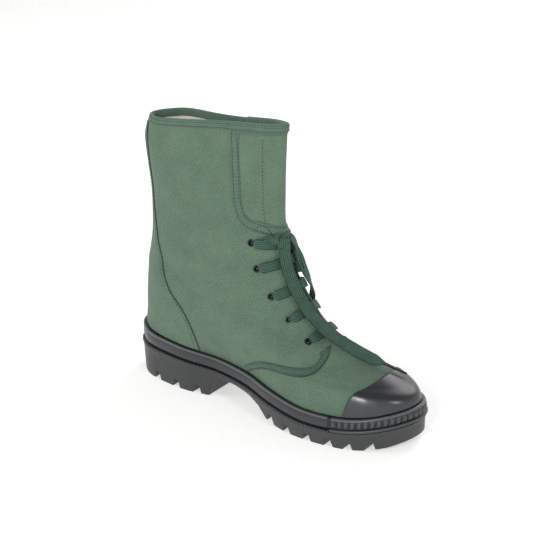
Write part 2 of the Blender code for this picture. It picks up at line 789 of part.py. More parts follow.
def level_at_height(angle, height):
    """Level where the surface reaches a height at an angle."""
    fine = np.linspace(LEVEL_THROAT, LEVEL_TOP, SAMPLES)
    return np.interp(height, last(fine, np.full(SAMPLES, angle))[:, 2], fine)


def make_collar_binding():
    """Tape over the rim of the collar, from the flap's edge round the back."""
    lateral_edge = FLAP_TOP_EDGE - BINDING_END_GAP
    medial_edge = FLAP_MEDIAL_EDGE - BINDING_END_GAP
    lateral = angle_at(LEVEL_TOP, lambda p: p[:, 0] - lateral_edge, 1.0)
    medial = angle_at(LEVEL_TOP, lambda p: p[:, 0] - medial_edge, -1.0)
    columns = upper_columns(LEVEL_TOP)
    inside = columns[(columns > medial + COLUMN_CLEAR) & (columns < lateral - COLUMN_CLEAR)]
    angles = np.concatenate(((medial,), inside, (lateral,)))
    drop = below_collar(angles, BINDING_DROP)
    top = np.full(len(angles), LEVEL_TOP)
    out = GAP + BINDING_THICK
    inside = -CANVAS_WALL - 2 * GAP
    loop = [
        skin(drop, angles, GAP),
        skin(drop, angles, out),
        skin(top, angles, out) + (0, 0, GAP),
        skin(top, angles, -CANVAS_WALL / 2) + (0, 0, GAP + BINDING_CROWN),
        skin(top, angles, inside - BINDING_THICK) + (0, 0, GAP),
        skin(drop, angles, inside - BINDING_THICK),
        skin(drop, angles, inside),
        skin(top, angles, inside) + (0, 0, GAP),
        skin(top, angles, GAP) + (0, 0, GAP),
    ]
    add_band("collar_binding", np.stack(loop, 1), surface_material("binding_tape", TAPE_GREEN))


def make_eyelet(name, level, angle, material):
    """A turned metal ring lying on the canvas."""
    out = normal(level, angle)
    along = last(level, angle + STEP) - last(level, angle - STEP)
    along /= np.linalg.norm(along)
    across = np.cross(out, along)
    centre = skin(level, angle, EYELET_LIFT)
    loops = []
    for k in range(EYELET_SEGMENTS):
        turn = 2 * math.pi * k / EYELET_SEGMENTS
        arm = along * math.cos(turn) + across * math.sin(turn)
        loops.append([centre + arm * radius + out * height for radius, height in EYELET_PROFILE])
    add_band(name, np.array(loops), material, ring=True)


def front_level(x, z):
    """Level of the front ridge's point nearest to a place in side view, under the flap."""
    fine = np.linspace(LEVEL_THROAT, LEVEL_TOP, SAMPLES)
    ridge = last(fine, np.full(SAMPLES, math.pi))[:, (0, 2)]
    nearest = fine[np.argmin(np.linalg.norm(ridge - (x, z), axis=1))]
    return min(nearest, level_at_height(math.pi, LACE_TOP))


def make_lacing():
    """Eyelets in pairs, and a flat bar of lace over each pair."""
    half = LACE_WIDTH / 2
    for number, (x, z) in enumerate(EYELETS, 1):
        ends = []
        for side, word in ((1.0, "lateral"), (-1.0, "medial")):
            level, angle = locate(x, z, side)
            name = f"eyelet_{word}_{number}"
            make_eyelet(name, level, angle, surface_material(name + "_metal", METAL_BLACK))
            ends.append((level, angle))
        (start_level, start), (end_level, end) = ends
        share = np.linspace(0.0, 1.0, LACE_COLUMNS + 1)
        angles = start + (2 * math.pi + end - start) * share
        middle = start_level + (end_level - start_level) * share
        middle += (front_level(x, z) - middle) * np.sin(math.pi * share)
        spread = half / rise(middle, angles)
        levels = np.stack((middle - spread, middle + spread))
        low = GAP + LACE_CLEAR
        name = f"lace_bar_{number}"
        add_overlay(name, levels, np.stack((angles, angles)), low, low + LACE_THICK,
                    surface_material(name + "_cord", TAPE_GREEN))


def make_knot():
    """Flattened knot over the top bar."""
    angle = math.pi - math.radians(KNOT_TURN)
    out = normal(KNOT_LEVEL, angle)
    centre = skin(KNOT_LEVEL, angle, KNOT_OFFSET)
    across = np.cross(out, (0.0, 1.0, 0.0))
    across /= np.linalg.norm(across)
    along = np.cross(across, out)
    points = []
    for ring in range(1, KNOT_RINGS):
        fall = math.pi * ring / KNOT_RINGS
        for k in range(KNOT_SEGMENTS):
            turn = 2 * math.pi * k / KNOT_SEGMENTS
            flat = math.sin(fall)
            points.append(centre + along * KNOT_RADII[0] * flat * math.cos(turn)
                          + across * KNOT_RADII[1] * flat * math.sin(turn)
                          + out * KNOT_RADII[2] * math.cos(fall))
    first = len(points)
    points += [centre + out * KNOT_RADII[2], centre - out * KNOT_RADII[2]]
    index = np.arange(first).reshape(KNOT_RINGS - 1, KNOT_SEGMENTS)
    faces = []
    for k in range(KNOT_SEGMENTS):
        j = (k + 1) % KNOT_SEGMENTS
        faces.append((first, index[0, k], index[0, j]))
        faces.append((first + 1, index[-1, j], index[-1, k]))
        for r in range(KNOT_RINGS - 2):
            faces.append((index[r, k], index[r + 1, k], index[r + 1, j], index[r, j]))
    add_solid("lace_knot", points, faces, surface_material("knot_cord", TAPE_GREEN))


def lace_route(table):
    """Points along a free lace end, a step apart, on a smooth curve through its table."""
    knots = np.arange(len(table), dtype=float)
    fine = np.linspace(0.0, knots[-1], SAMPLES)
    level, turn, height = (curve(knots, column(table, k), fine) for k in range(3))
    path = skin(level, math.pi - np.radians(turn), height)
    run = np.concatenate(((0.0,), np.cumsum(np.linalg.norm(np.diff(path, axis=0), axis=1))))
    steps = np.linspace(0.0, run[-1], round(run[-1] / CORD_STEP) + 1)
    return np.stack([np.interp(steps, run, path[:, k]) for k in range(3)], 1)


def add_tube(name, path, radius, material):
    """A round tube with filled ends along a path."""
    data = bpy.data.curves.new(name, "CURVE")
    data.dimensions = "3D"
    data.bevel_depth = radius * MM
    data.bevel_resolution = 2
    data.use_fill_caps = True
    spline = data.splines.new("POLY")
    spline.points.add(len(path) - 1)
    for point, place in zip(spline.points, (path - ORIGIN) * MM):
        point.co = (*place, 1.0)
    data.materials.append(material)
    tube = bpy.data.objects.new(name, data)
    bpy.context.collection.objects.link(tube)


def make_lace_ends():
    """The two free ends of the lace, each with its aglet."""
    for word, table in (("lateral", LACE_END_LATERAL), ("medial", LACE_END_MEDIAL)):
        path = lace_route(table)
        cord = surface_material(f"end_{word}_cord", TAPE_GREEN)
        add_tube(f"lace_end_{word}", path, CORD_RADIUS, cord)
        along = path[-1] - path[-2]
        along /= np.linalg.norm(along)
        tip = path[-1] + along * GAP
        aglet = np.stack((tip, tip + along * AGLET_LENGTH))
        metal = surface_material(f"aglet_{word}_metal", METAL_BLACK)
        add_tube(f"aglet_{word}", aglet, AGLET_RADIUS, metal)


def main():
    for old in list(bpy.data.objects):
        bpy.data.objects.remove(old, do_unlink=True)
    make_outsole()
    make_foxing()
    make_toe_bumper()
    make_insole()
    make_upper()
    make_tongue()
    make_toe_cap()
    make_heel_counter()
    make_quarter_seam("quarter_seam_lateral", 1.0)
    make_quarter_seam("quarter_seam_medial", -1.0)
    make_front_flap()
    make_collar_binding()
    make_lacing()
    make_knot()
    make_lace_ends()


main()
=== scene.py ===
import math

import bmesh
import bpy
import numpy as np
from mathutils import Matrix, kdtree


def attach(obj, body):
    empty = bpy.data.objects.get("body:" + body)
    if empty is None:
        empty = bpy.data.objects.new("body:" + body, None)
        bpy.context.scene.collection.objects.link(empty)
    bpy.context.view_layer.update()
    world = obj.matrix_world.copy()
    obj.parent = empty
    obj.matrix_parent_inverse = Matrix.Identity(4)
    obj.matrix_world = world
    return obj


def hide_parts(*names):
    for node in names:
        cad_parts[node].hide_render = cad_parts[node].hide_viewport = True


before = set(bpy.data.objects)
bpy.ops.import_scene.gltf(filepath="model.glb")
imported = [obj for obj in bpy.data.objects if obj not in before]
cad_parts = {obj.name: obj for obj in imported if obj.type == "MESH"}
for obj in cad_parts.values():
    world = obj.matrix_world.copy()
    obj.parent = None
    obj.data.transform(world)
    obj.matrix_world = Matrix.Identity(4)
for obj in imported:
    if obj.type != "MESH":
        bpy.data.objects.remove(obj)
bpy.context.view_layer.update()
print("frame loaded:", len(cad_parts), "nodes")

# All shapes below are in the boot's own millimetres: x forward from the upper's heel,
# y to the medial side, z up from the floor. A section's angle runs from 0 at the heel to pi
# at the front, positive on the lateral side.
bootOrigin = np.array((153.25, -2.15, 0.0))
mm = 0.001
gap = 0.35

sole = dict(back=-6.0, length=317.0, toeSwing=3.0, featherInset=7.2, bandInset=6.4)
soleOutline = np.array((
    # x, lateral, medial
    (16.0, 28.5, 26.5),
    (40.0, 34.5, 33.0),
    (70.0, 36.5, 34.0),
    (105.0, 31.5, 29.5),
    (140.0, 35.5, 30.5),
    (175.0, 47.5, 38.5),
    (210.0, 53.5, 46.0),
    (245.0, 51.0, 48.0),
    (275.0, 41.5, 42.5),
    (298.0, 25.5, 28.5),
))
soleHeights = np.array((
    # x, seat, band
    (-6.0, 32.0, 50.0),
    (30.0, 31.3, 47.0),
    (70.0, 30.0, 44.5),
    (120.0, 25.5, 39.5),
    (170.0, 22.0, 36.5),
    (225.0, 16.7, 30.7),
    (270.0, 18.3, 32.3),
    (310.0, 26.3, 40.8),
))
lastSections = (
    # backX, backZ, frontX, frontZ, frontY, half-widths at four stations lateral, then medial
    (2.2, 66.5, 301.0, 47.0, 3.0, 29.5, 33.0, 44.0, 33.0, 28.5, 31.0, 34.5, 30.5),
    (3.3, 80.5, 287.5, 52.5, 3.0, 30.0, 34.5, 40.5, 27.5, 28.5, 33.0, 31.5, 23.0),
    (5.0, 94.5, 262.5, 62.0, 2.5, 30.0, 34.5, 38.0, 22.0, 28.5, 33.0, 29.0, 17.0),
    (7.0, 109.5, 237.0, 73.0, 2.0, 29.0, 33.5, 35.0, 21.0, 28.0, 32.5, 30.0, 17.5),
    (8.5, 121.5, 216.0, 82.0, 1.5, 28.0, 32.5, 32.5, 22.0, 27.0, 32.0, 30.0, 20.0),
    (11.5, 134.5, 201.0, 96.5, 1.0, 26.5, 31.5, 30.0, 20.0, 26.0, 31.0, 28.5, 18.5),
    (14.5, 151.5, 185.0, 117.5, 0.5, 25.0, 29.5, 27.0, 18.0, 25.0, 29.5, 26.5, 17.5),
    (15.5, 170.5, 170.5, 146.0, 0.0, 23.5, 27.5, 24.0, 15.5, 23.5, 27.5, 24.0, 15.5),
    (15.0, 192.5, 162.0, 178.0, 0.0, 22.0, 25.0, 21.0, 13.0, 22.0, 25.0, 20.5, 13.0),
    (11.5, 217.5, 162.0, 210.0, 0.0, 20.5, 21.0, 16.0, 10.5, 21.0, 20.5, 15.0, 10.5),
    (8.5, 242.0, 163.5, 245.0, 0.0, 19.0, 17.5, 12.0, 9.0, 20.0, 16.0, 10.5, 9.0),
    (14.5, 261.0, 165.5, 274.5, 0.0, 17.0, 14.0, 8.5, 7.5, 20.0, 14.0, 8.0, 7.5),
)
stations = np.array((0.12, 0.40, 0.70, 0.90))
bandLevel = 1.0
throatLevel = 6.0
topLevel = len(lastSections) + 1.0


def hermite(start, end, startSlope, endSlope, s):
    first = start * (1 + 2 * s) * (1 - s) ** 2 + startSlope * s * (1 - s) ** 2
    second = end * s * s * (3 - 2 * s) + endSlope * s * s * (s - 1)
    return first + second


def curveThrough(knots, values, where):
    # cubic pieces with three-point slopes; values may carry further axes
    knots = np.asarray(knots, float)
    values = np.asarray(values, float)
    where = np.clip(where, knots[0], knots[-1])
    tail = (1,) * (values.ndim - 1)
    span = np.diff(knots).reshape((-1,) + tail)
    chord = np.diff(values, axis=0) / span
    inner = (chord[:-1] * span[1:] + chord[1:] * span[:-1]) / (span[:-1] + span[1:])
    slope = np.concatenate((chord[:1], inner, chord[-1:]))
    i = np.clip(np.searchsorted(knots, where, side="right") - 1, 0, len(span) - 1)
    s = ((where - knots[i]) / np.diff(knots)[i]).reshape(np.shape(where) + tail)
    return hermite(values[i], values[i + 1], slope[i] * span[i], slope[i + 1] * span[i], s)


def throughRows(table, count):
    # points along a smooth curve through the table's rows
    rows = np.arange(len(table), dtype=float)
    return curveThrough(rows, table, np.linspace(0.0, rows[-1], count))


def unit(vectors):
    return vectors / np.linalg.norm(vectors, axis=-1, keepdims=True)


def smooth(share):
    share = np.clip(share, 0, 1)
    return share * share * (3 - 2 * share)


def raised(flat, z):
    return np.concatenate((flat, z[..., None]), -1)


def bySide(angle, lateral, medial):
    return np.where(np.sin(angle) > 0, lateral, medial)


def toFrame(points):
    return (np.asarray(points) - bootOrigin) * mm


outlineT = (soleOutline[:, 0] - sole["back"]) / sole["length"]
outlineRound = 2 * np.sqrt(outlineT * (1 - outlineT))
lateralFull = (soleOutline[:, 1] + sole["toeSwing"] * outlineT ** 2) / outlineRound
medialFull = (soleOutline[:, 2] - sole["toeSwing"] * outlineT ** 2) / outlineRound
stationRound = 2 * np.sqrt(stations * (1 - stations))
slopeStep = 0.01


def soleEdge(angle):
    t = (1 - np.cos(angle)) / 2
    full = bySide(angle, curveThrough(outlineT, lateralFull, t), curveThrough(outlineT, medialFull, t))
    y = sole["toeSwing"] * t * t - full * np.sin(angle)
    return np.stack((sole["back"] + sole["length"] * t, y), -1)


def soleRing(angle, inset):
    along = unit(soleEdge(angle + slopeStep) - soleEdge(angle - slopeStep))
    inward = np.stack((-along[..., 1], along[..., 0]), -1)
    return soleEdge(angle) + np.asarray(inset)[..., None] * inward


def seatHeight(x):
    return curveThrough(soleHeights[:, 0], soleHeights[:, 1], x)


def solePoint(angle, inset, share):
    # share 0 is the outsole's top, 1 the top edge of the rubber band
    flat = soleRing(angle, inset)
    seat = seatHeight(flat[..., 0]) + gap
    band = curveThrough(soleHeights[:, 0], soleHeights[:, 2], flat[..., 0])
    return raised(flat, seat + share * (band - seat))


def lastRows(angle):
    t = (1 - np.cos(angle)) / 2
    rows = [solePoint(angle, sole["featherInset"], 0.0), solePoint(angle, sole["bandInset"], 1.0)]
    for backX, backZ, frontX, frontZ, frontY, *widths in lastSections:
        lateral, medial = np.array(widths).reshape(2, 4) / stationRound
        half = bySide(angle, curveThrough(stations, lateral, t), curveThrough(stations, medial, t))
        y = frontY * t * t - half * np.sin(angle)
        rows.append(np.stack((backX + (frontX - backX) * t, y, backZ + (frontZ - backZ) * t), -1))
    return np.array(rows)


def lastPoint(level, angle):
    level, angle = np.broadcast_arrays(np.asarray(level, float), np.asarray(angle, float))
    shape = level.shape
    level = level.ravel()
    rows = lastRows(angle.ravel())
    slope = np.gradient(rows, axis=0)
    i = np.clip(np.floor(level).astype(int), 0, len(rows) - 2)
    n = np.arange(len(level))
    point = hermite(rows[i, n], rows[i + 1, n], slope[i, n], slope[i + 1, n], (level - i)[:, None])
    return point.reshape(shape + (3,))


def lastNormal(level, angle):
    level, angle = np.broadcast_arrays(np.asarray(level, float), np.asarray(angle, float))
    along = lastPoint(level, angle + slopeStep) - lastPoint(level, angle - slopeStep)
    higher = lastPoint(np.minimum(level + slopeStep, topLevel), angle)
    lower = lastPoint(np.maximum(level - slopeStep, 0), angle)
    return unit(np.cross(along, higher - lower))


def liftedPoint(level, angle, height):
    return lastPoint(level, angle) + np.asarray(height, float)[..., None] * lastNormal(level, angle)


def fromFront(turn):
    return math.pi - np.radians(turn)


# Main creases of the worn-in canvas in side view: a soft trough from one point to the
# other with a low ridge above it
creases = (
    # side, x0, z0, x1, z1, depth, width
    (1, 40.0, 128.0, 112.0, 118.0, 1.3, 10.0),
    (1, 60.0, 150.0, 128.0, 141.0, 0.9, 8.0),
    (1, 96.0, 104.0, 150.0, 98.0, 0.8, 7.0),
    (1, 196.0, 62.0, 236.0, 70.0, 0.7, 6.0),
    (1, 40.0, 200.0, 100.0, 210.0, 0.8, 14.0),
    (-1, 40.0, 126.0, 118.0, 116.0, 1.3, 10.0),
    (-1, 66.0, 150.0, 130.0, 140.0, 0.9, 8.0),
    (-1, 200.0, 60.0, 240.0, 68.0, 0.7, 6.0),
    (-1, 44.0, 205.0, 104.0, 198.0, 0.8, 14.0),
)
creaseForm = dict(endFade=1.2, sideFade=9.0, ridgeGap=1.7, ridgeWidth=0.9, ridgeHeight=0.6)


def creaseHeight(point):
    height = np.zeros(point.shape[:-1])
    aside = np.clip(np.abs(point[..., 1]) / creaseForm["sideFade"], 0, 1)
    for side, x0, z0, x1, z1, depth, width in creases:
        run = np.array((x1 - x0, z1 - z0))
        length = np.linalg.norm(run)
        run /= length
        away = point[..., (0, 2)] - (x0, z0)
        along = away @ run
        across = away @ np.array((-run[1], run[0]))
        fade = np.exp(-((along - np.clip(along, 0, length)) / (creaseForm["endFade"] * width)) ** 2)
        fade *= np.where(point[..., 1] * side < 0, aside, 0)
        trough = np.exp(-(across / width) ** 2)
        ridge = np.exp(-((across - creaseForm["ridgeGap"] * width) / (creaseForm["ridgeWidth"] * width)) ** 2)
        height += depth * fade * (creaseForm["ridgeHeight"] * ridge - trough)
    return height


def skin(level, angle, height):
    # a point over the canvas, creases included
    point = lastPoint(level, angle)
    lift = height + creaseHeight(point)
    return point + lift[..., None] * lastNormal(level, angle)


# how finely the upper is searched for a place
search = dict(angles=361, grid=90, edge=0.01, rounds=8, levels=300)


def angleAt(level, reached, side):
    angles = np.linspace(0.0, math.pi, search["angles"])
    return side * np.interp(0.0, reached(lastPoint(level, side * angles)), angles)


def locate(place, side):
    # level and angle of points given as x, z in side view
    def seen(level, angle):
        return lastPoint(level, side * angle)[:, (0, 2)]

    place = np.atleast_2d(place)
    levels = np.linspace(bandLevel, topLevel, search["grid"])
    angles = np.linspace(search["edge"], math.pi - search["edge"], search["grid"])
    levels, angles = [grid.ravel() for grid in np.meshgrid(levels, angles)]
    nearest = np.argmin(np.linalg.norm(seen(levels, angles)[None] - place[:, None], axis=-1), axis=1)
    level, angle = levels[nearest], angles[nearest]
    for _ in range(search["rounds"]):
        here = seen(level, angle)
        byLevel = (seen(level + slopeStep, angle) - here) / slopeStep
        byAngle = (seen(level, angle + slopeStep) - here) / slopeStep
        move = np.linalg.solve(np.stack((byLevel, byAngle), -1), (place - here)[..., None])[..., 0]
        level = np.clip(level + move[:, 0], 0.0, topLevel)
        angle = np.clip(angle + move[:, 1], 0.0, math.pi)
    return level, side * angle


def levelAtHeight(angle, height):
    fine = np.linspace(throatLevel, topLevel, search["levels"])
    z = lastPoint(fine[:, None], angle[None])[..., 2]
    return np.array([np.interp(h, z[:, k], fine) for k, h in enumerate(height)])


def runLength(points):
    steps = np.linalg.norm(np.diff(points, axis=0), axis=-1)
    return np.concatenate((np.zeros((1,) + steps.shape[1:]), np.cumsum(steps, axis=0)))


def rowLength(points):
    # the run along each row of a grid
    return runLength(np.moveaxis(points, 1, 0)).T


# Node helper for materials and geometry alike: links takes sockets or plain values
def addNode(tree, kind, links=None, **settings):
    node = tree.nodes.new(kind)
    for key, value in settings.items():
        setattr(node, key, value)
    for socket, source in (links or {}).items():
        if isinstance(source, bpy.types.NodeSocket):
            tree.links.new(source, node.inputs[socket])
        else:
            node.inputs[socket].default_value = source
    return node


def linear(hexColour):
    parts = [int(hexColour[k:k + 2], 16) / 255 for k in (1, 3, 5)]
    return [p / 12.92 if p <= 0.04045 else ((p + 0.055) / 1.055) ** 2.4 for p in parts] + [1.0]


def bandScale(pitch):
    # a wave texture's bands repeat every 2 pi / 20 of its scaled coordinate
    return 2 * math.pi / (20 * pitch)


def newFinish(name, roughness, ior=1.5):
    finish = bpy.data.materials.new(name)
    finish.use_nodes = True
    tree = finish.node_tree
    shader = tree.nodes["Principled BSDF"]
    shader.inputs["Roughness"].default_value = roughness
    shader.inputs["IOR"].default_value = ior
    return finish, tree, shader


def bandsOf(tree, where, pitch, direction, links):
    links = {"Vector": where, "Scale": bandScale(pitch), **links}
    return addNode(tree, "ShaderNodeTexWave", links, bands_direction=direction).outputs["Fac"]


def noiseOf(tree, where, scale, detail, roughness=0.5):
    links = {"Vector": where, "Scale": scale, "Detail": detail, "Roughness": roughness}
    return addNode(tree, "ShaderNodeTexNoise", links).outputs["Fac"]


def timesPlus(tree, value, factor, extra, clamp=False):
    links = {0: value, 1: factor, 2: extra}
    return addNode(tree, "ShaderNodeMath", links, operation="MULTIPLY_ADD", use_clamp=clamp).outputs[0]


def mixOf(tree, amount, low, high):
    return addNode(tree, "ShaderNodeMix", {0: amount, 6: low, 7: high}, data_type="RGBA").outputs[2]


def weaveOf(tree):
    return addNode(tree, "ShaderNodeAttribute", attribute_name="weave").outputs["Vector"]


def thirdOf(tree, vector):
    return addNode(tree, "ShaderNodeSeparateXYZ", {0: vector}).outputs["Z"]


def dress(tree, shader, colour, height, strength, depth):
    bump = addNode(tree, "ShaderNodeBump", {"Height": height, "Strength": strength, "Distance": depth})
    tree.links.new(colour, shader.inputs["Base Color"])
    tree.links.new(bump.outputs[0], shader.inputs["Normal"])


clothForm = dict(ior=1.47, paintedShadeDark=0.3, thread=0.3, twillDepth=0.0004, sheenRough=0.5, tapeMottle=0.6,
                 tapeDepth=0.0005, tapeSheen=0.15)


# Painted shade on cloth, as much as weave's third value says: along sheet and lace edges, and on bars by the
# strand
def clothWithPaintedShade(tree, cloth, relief, uneven, light, dark, contrast):
    tone = timesPlus(tree, relief, contrast, uneven, clamp=True)
    colour = mixOf(tree, tone, linear(dark), linear(light))
    paintedShadeColour = [v * clothForm["paintedShadeDark"] for v in linear(dark)[:3]] + [1.0]
    return mixOf(tree, thirdOf(tree, cloth), colour, paintedShadeColour)


# Cotton twill canvas, piece-dyed: matt, with fine diagonal ribs and slightly uneven colour.
# The real ribs are about 0.7 mm apart, too fine for the render, so they are drawn coarser.
def cottonTwill(name, light, dark, settings):
    finish, tree, shader = newFinish(name, settings["roughness"], clothForm["ior"])
    cloth = weaveOf(tree)
    ribLinks = {"Distortion": 3.5, "Detail": 2.0, "Detail Scale": 0.6, "Detail Roughness": 0.6}
    rib = bandsOf(tree, cloth, settings["ribMm"], "Y", ribLinks)
    thread = bandsOf(tree, cloth, settings["threadMm"], "X", {"Distortion": 0.6})
    mottle = noiseOf(tree, cloth, 1 / settings["mottleMm"], detail=4.0, roughness=0.65)
    slub = noiseOf(tree, cloth, 1 / settings["slubMm"], detail=3.0)
    woven = timesPlus(tree, thread, clothForm["thread"], rib)
    relief = timesPlus(tree, slub, settings["slub"], woven)
    uneven = timesPlus(tree, mottle, settings["mottle"], settings["base"])
    colour = clothWithPaintedShade(tree, cloth, relief, uneven, light, dark, settings["contrast"])
    dress(tree, shader, colour, relief, settings["bump"], clothForm["twillDepth"])
    shader.inputs["Sheen Weight"].default_value = settings["sheen"]
    shader.inputs["Sheen Roughness"].default_value = clothForm["sheenRough"]
    return finish


# Woven cotton tape and flat braided lace: matt, with ribs along the run and a fine weft across
def wovenRibs(name, light, dark, settings):
    finish, tree, shader = newFinish(name, settings["roughness"], clothForm["ior"])
    cloth = weaveOf(tree)
    rib = bandsOf(tree, cloth, settings["ribMm"], "X", {"Distortion": 0.4, "Detail": 1.0})
    weft = bandsOf(tree, cloth, settings["weftMm"], "Y", {"Distortion": 1.5, "Detail": 1.0})
    mottle = noiseOf(tree, cloth, 1 / settings["mottleMm"], detail=3.0)
    relief = timesPlus(tree, weft, settings["weft"], rib)
    uneven = timesPlus(tree, mottle, clothForm["tapeMottle"], settings["base"])
    colour = clothWithPaintedShade(tree, cloth, relief, uneven, light, dark, settings["contrast"])
    dress(tree, shader, colour, relief, settings["bump"], clothForm["tapeDepth"])
    shader.inputs["Sheen Weight"].default_value = clothForm["tapeSheen"]
    return finish


rubberForm = dict(ior=1.52, paintedShade=0.15, roughSwing=0.07, cloudLow=0.3, cloudHigh=0.7, gritDepth=0.0002)


# Black vulcanised rubber from a mould: dark grey, satin, with a fine blast texture and painted highlight and
# shade
def mouldedRubber(name, light, dark, settings):
    finish, tree, shader = newFinish(name, settings["roughness"], rubberForm["ior"])
    place = addNode(tree, "ShaderNodeTexCoord").outputs["Object"]
    cloud = noiseOf(tree, place, 1000 / settings["cloudMm"], detail=5.0, roughness=0.6)
    grit = noiseOf(tree, place, 1000 / settings["gritMm"], detail=2.0)
    colour = mixOf(tree, cloud, linear(dark), linear(light))
    # painted highlight where weave's third value is over 0, painted shade where it is under, never below
    # rubberForm's floor
    paintedLight = timesPlus(tree, thirdOf(tree, weaveOf(tree)), settings["paintedLight"], 1.0)
    paintedLight = addNode(tree, "ShaderNodeMath", {0: paintedLight, 1: rubberForm["paintedShade"]}, operation="MAXIMUM").outputs[0]
    lightAndShadeColour = addNode(tree, "ShaderNodeVectorMath", {0: colour, "Scale": paintedLight}, operation="SCALE").outputs[0]
    rough = addNode(tree, "ShaderNodeMapRange", {
        "Value": cloud, "From Min": rubberForm["cloudLow"], "From Max": rubberForm["cloudHigh"],
        "To Min": settings["roughness"] - rubberForm["roughSwing"],
        "To Max": settings["roughness"] + rubberForm["roughSwing"],
    }).outputs[0]
    tree.links.new(rough, shader.inputs["Roughness"])
    dress(tree, shader, lightAndShadeColour, grit, settings["bump"], rubberForm["gritDepth"])
    return finish


lacquerForm = dict(light="#0C0D0E", dark="#050506", peelMm=0.6, bump=0.08, peelDepth=0.0001)


# Black lacquer on rolled brass: smooth and glossy over a fine orange peel
def blackLacquer(name, roughness):
    finish, tree, shader = newFinish(name, roughness)
    place = addNode(tree, "ShaderNodeTexCoord").outputs["Object"]
    peel = noiseOf(tree, place, 1000 / lacquerForm["peelMm"], detail=2.0)
    colour = mixOf(tree, peel, linear(lacquerForm["dark"]), linear(lacquerForm["light"]))
    dress(tree, shader, colour, peel, lacquerForm["bump"], lacquerForm["peelDepth"])
    return finish


twill = dict(roughness=0.92, ribMm=2.3, threadMm=1.3, mottleMm=26.0, slubMm=2.4, slub=2.2, mottle=0.6,
             base=-0.13, contrast=0.2, bump=0.4, sheen=0.1)
canvasGreen = cottonTwill("cottonTwillGreen", "#667E69", "#394D3F", twill)
tapeSet = dict(roughness=0.9, ribMm=1.8, weftMm=1.2, weft=0.2, mottleMm=12.0, base=-0.05, contrast=0.45,
               bump=0.4)
tapeGreen = wovenRibs("cottonTapeGreen", "#5B7565", "#384E41", tapeSet)
seamGreen = wovenRibs("cottonSeamTapeGreen", "#4E6758", "#2C3F35", tapeSet)
laceSet = dict(roughness=0.88, ribMm=1.9, weftMm=1.4, weft=0.35, mottleMm=9.0, base=-0.2, contrast=0.65,
               bump=0.8)
laceGreen = wovenRibs("braidedLaceGreen", "#406453", "#0E2419", laceSet)
threadSet = dict(roughness=0.85, ribMm=0.5, weftMm=0.5, weft=0.4, mottleMm=8.0, base=0.1, contrast=0.2,
                 bump=0.2)
threadGreen = wovenRibs("sewingThreadGreen", "#33493D", "#1F3027", threadSet)
liningSet = dict(twill, ribMm=1.8, sheen=0.0)
liningCream = cottonTwill("cottonLiningCream", "#F4EEE0", "#D9D0BA", liningSet)
soleRubber = mouldedRubber("mouldedSoleRubber", "#333536", "#232526",
                           dict(roughness=0.5, cloudMm=30.0, gritMm=0.9, bump=0.25, paintedLight=2.0))
bandRubber = mouldedRubber("mouldedBandRubber", "#2A2C2E", "#1C1E20",
                           dict(roughness=0.36, cloudMm=24.0, gritMm=0.8, bump=0.12, paintedLight=4.0))
capRubber = mouldedRubber("smoothCapRubber", "#313335", "#282A2C",
                          dict(roughness=0.3, cloudMm=40.0, gritMm=1.2, bump=0.04, paintedLight=2.0))
# pale grey for the moulded groove marks: painted highlight, so they show lit against the dark groove
paintedHighlightRubber = mouldedRubber("markRubberPaintedHighlight", "#85898A", "#5E6263",
                           dict(roughness=0.45, cloudMm=12.0, gritMm=0.8, bump=0.1, paintedLight=0.0))
eyeletBlack = blackLacquer("blackLacqueredEyelet", 0.18)
agletBlack = blackLacquer("blackAgletFilm", 0.38)
print("finishes ready")


def finishPiece(piece, slotName, *nodes):
    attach(piece, "root")
    if nodes:
        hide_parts(*nodes)


def newObject(name, data):
    thing = bpy.data.objects.new(name, data)
    bpy.context.scene.collection.objects.link(thing)
    return thing


def addVectors(mesh, label, vectors):
    layer = mesh.attributes.new(label, "FLOAT_VECTOR", "POINT")
    layer.data.foreach_set("vector", np.asarray(vectors, np.float32).ravel())


meshForm = dict(mergeMm=0.002, sharp=40.0)


def softShaded(mesh, sharp):
    mesh.shade_smooth()
    mesh.set_sharp_from_angle(angle=math.radians(sharp))


def meshPiece(name, points, faces, finishes, faceFinish=None, weave=None, sharp=meshForm["sharp"]):
    # a closed mesh in boot millimetres, doubles merged and faces turned outwards
    mesh = bpy.data.meshes.new(name)
    mesh.from_pydata(toFrame(points).tolist(), [], [list(map(int, f)) for f in faces])
    if weave is not None:
        flat = np.zeros((len(weave), 3), np.float32)
        flat[:, :weave.shape[-1]] = weave
        addVectors(mesh, "weave", flat)
    for finish in finishes:
        mesh.materials.append(finish)
    if faceFinish is not None:
        mesh.polygons.foreach_set("material_index", np.asarray(faceFinish, np.int32))
    form = bmesh.new()
    form.from_mesh(mesh)
    bmesh.ops.delete(form, geom=[v for v in form.verts if not v.link_faces], context="VERTS")
    bmesh.ops.remove_doubles(form, verts=form.verts, dist=meshForm["mergeMm"] * mm)
    bmesh.ops.recalc_face_normals(form, faces=form.faces)
    form.to_mesh(mesh)
    form.free()
    softShaded(mesh, sharp)
    return newObject(name, mesh)


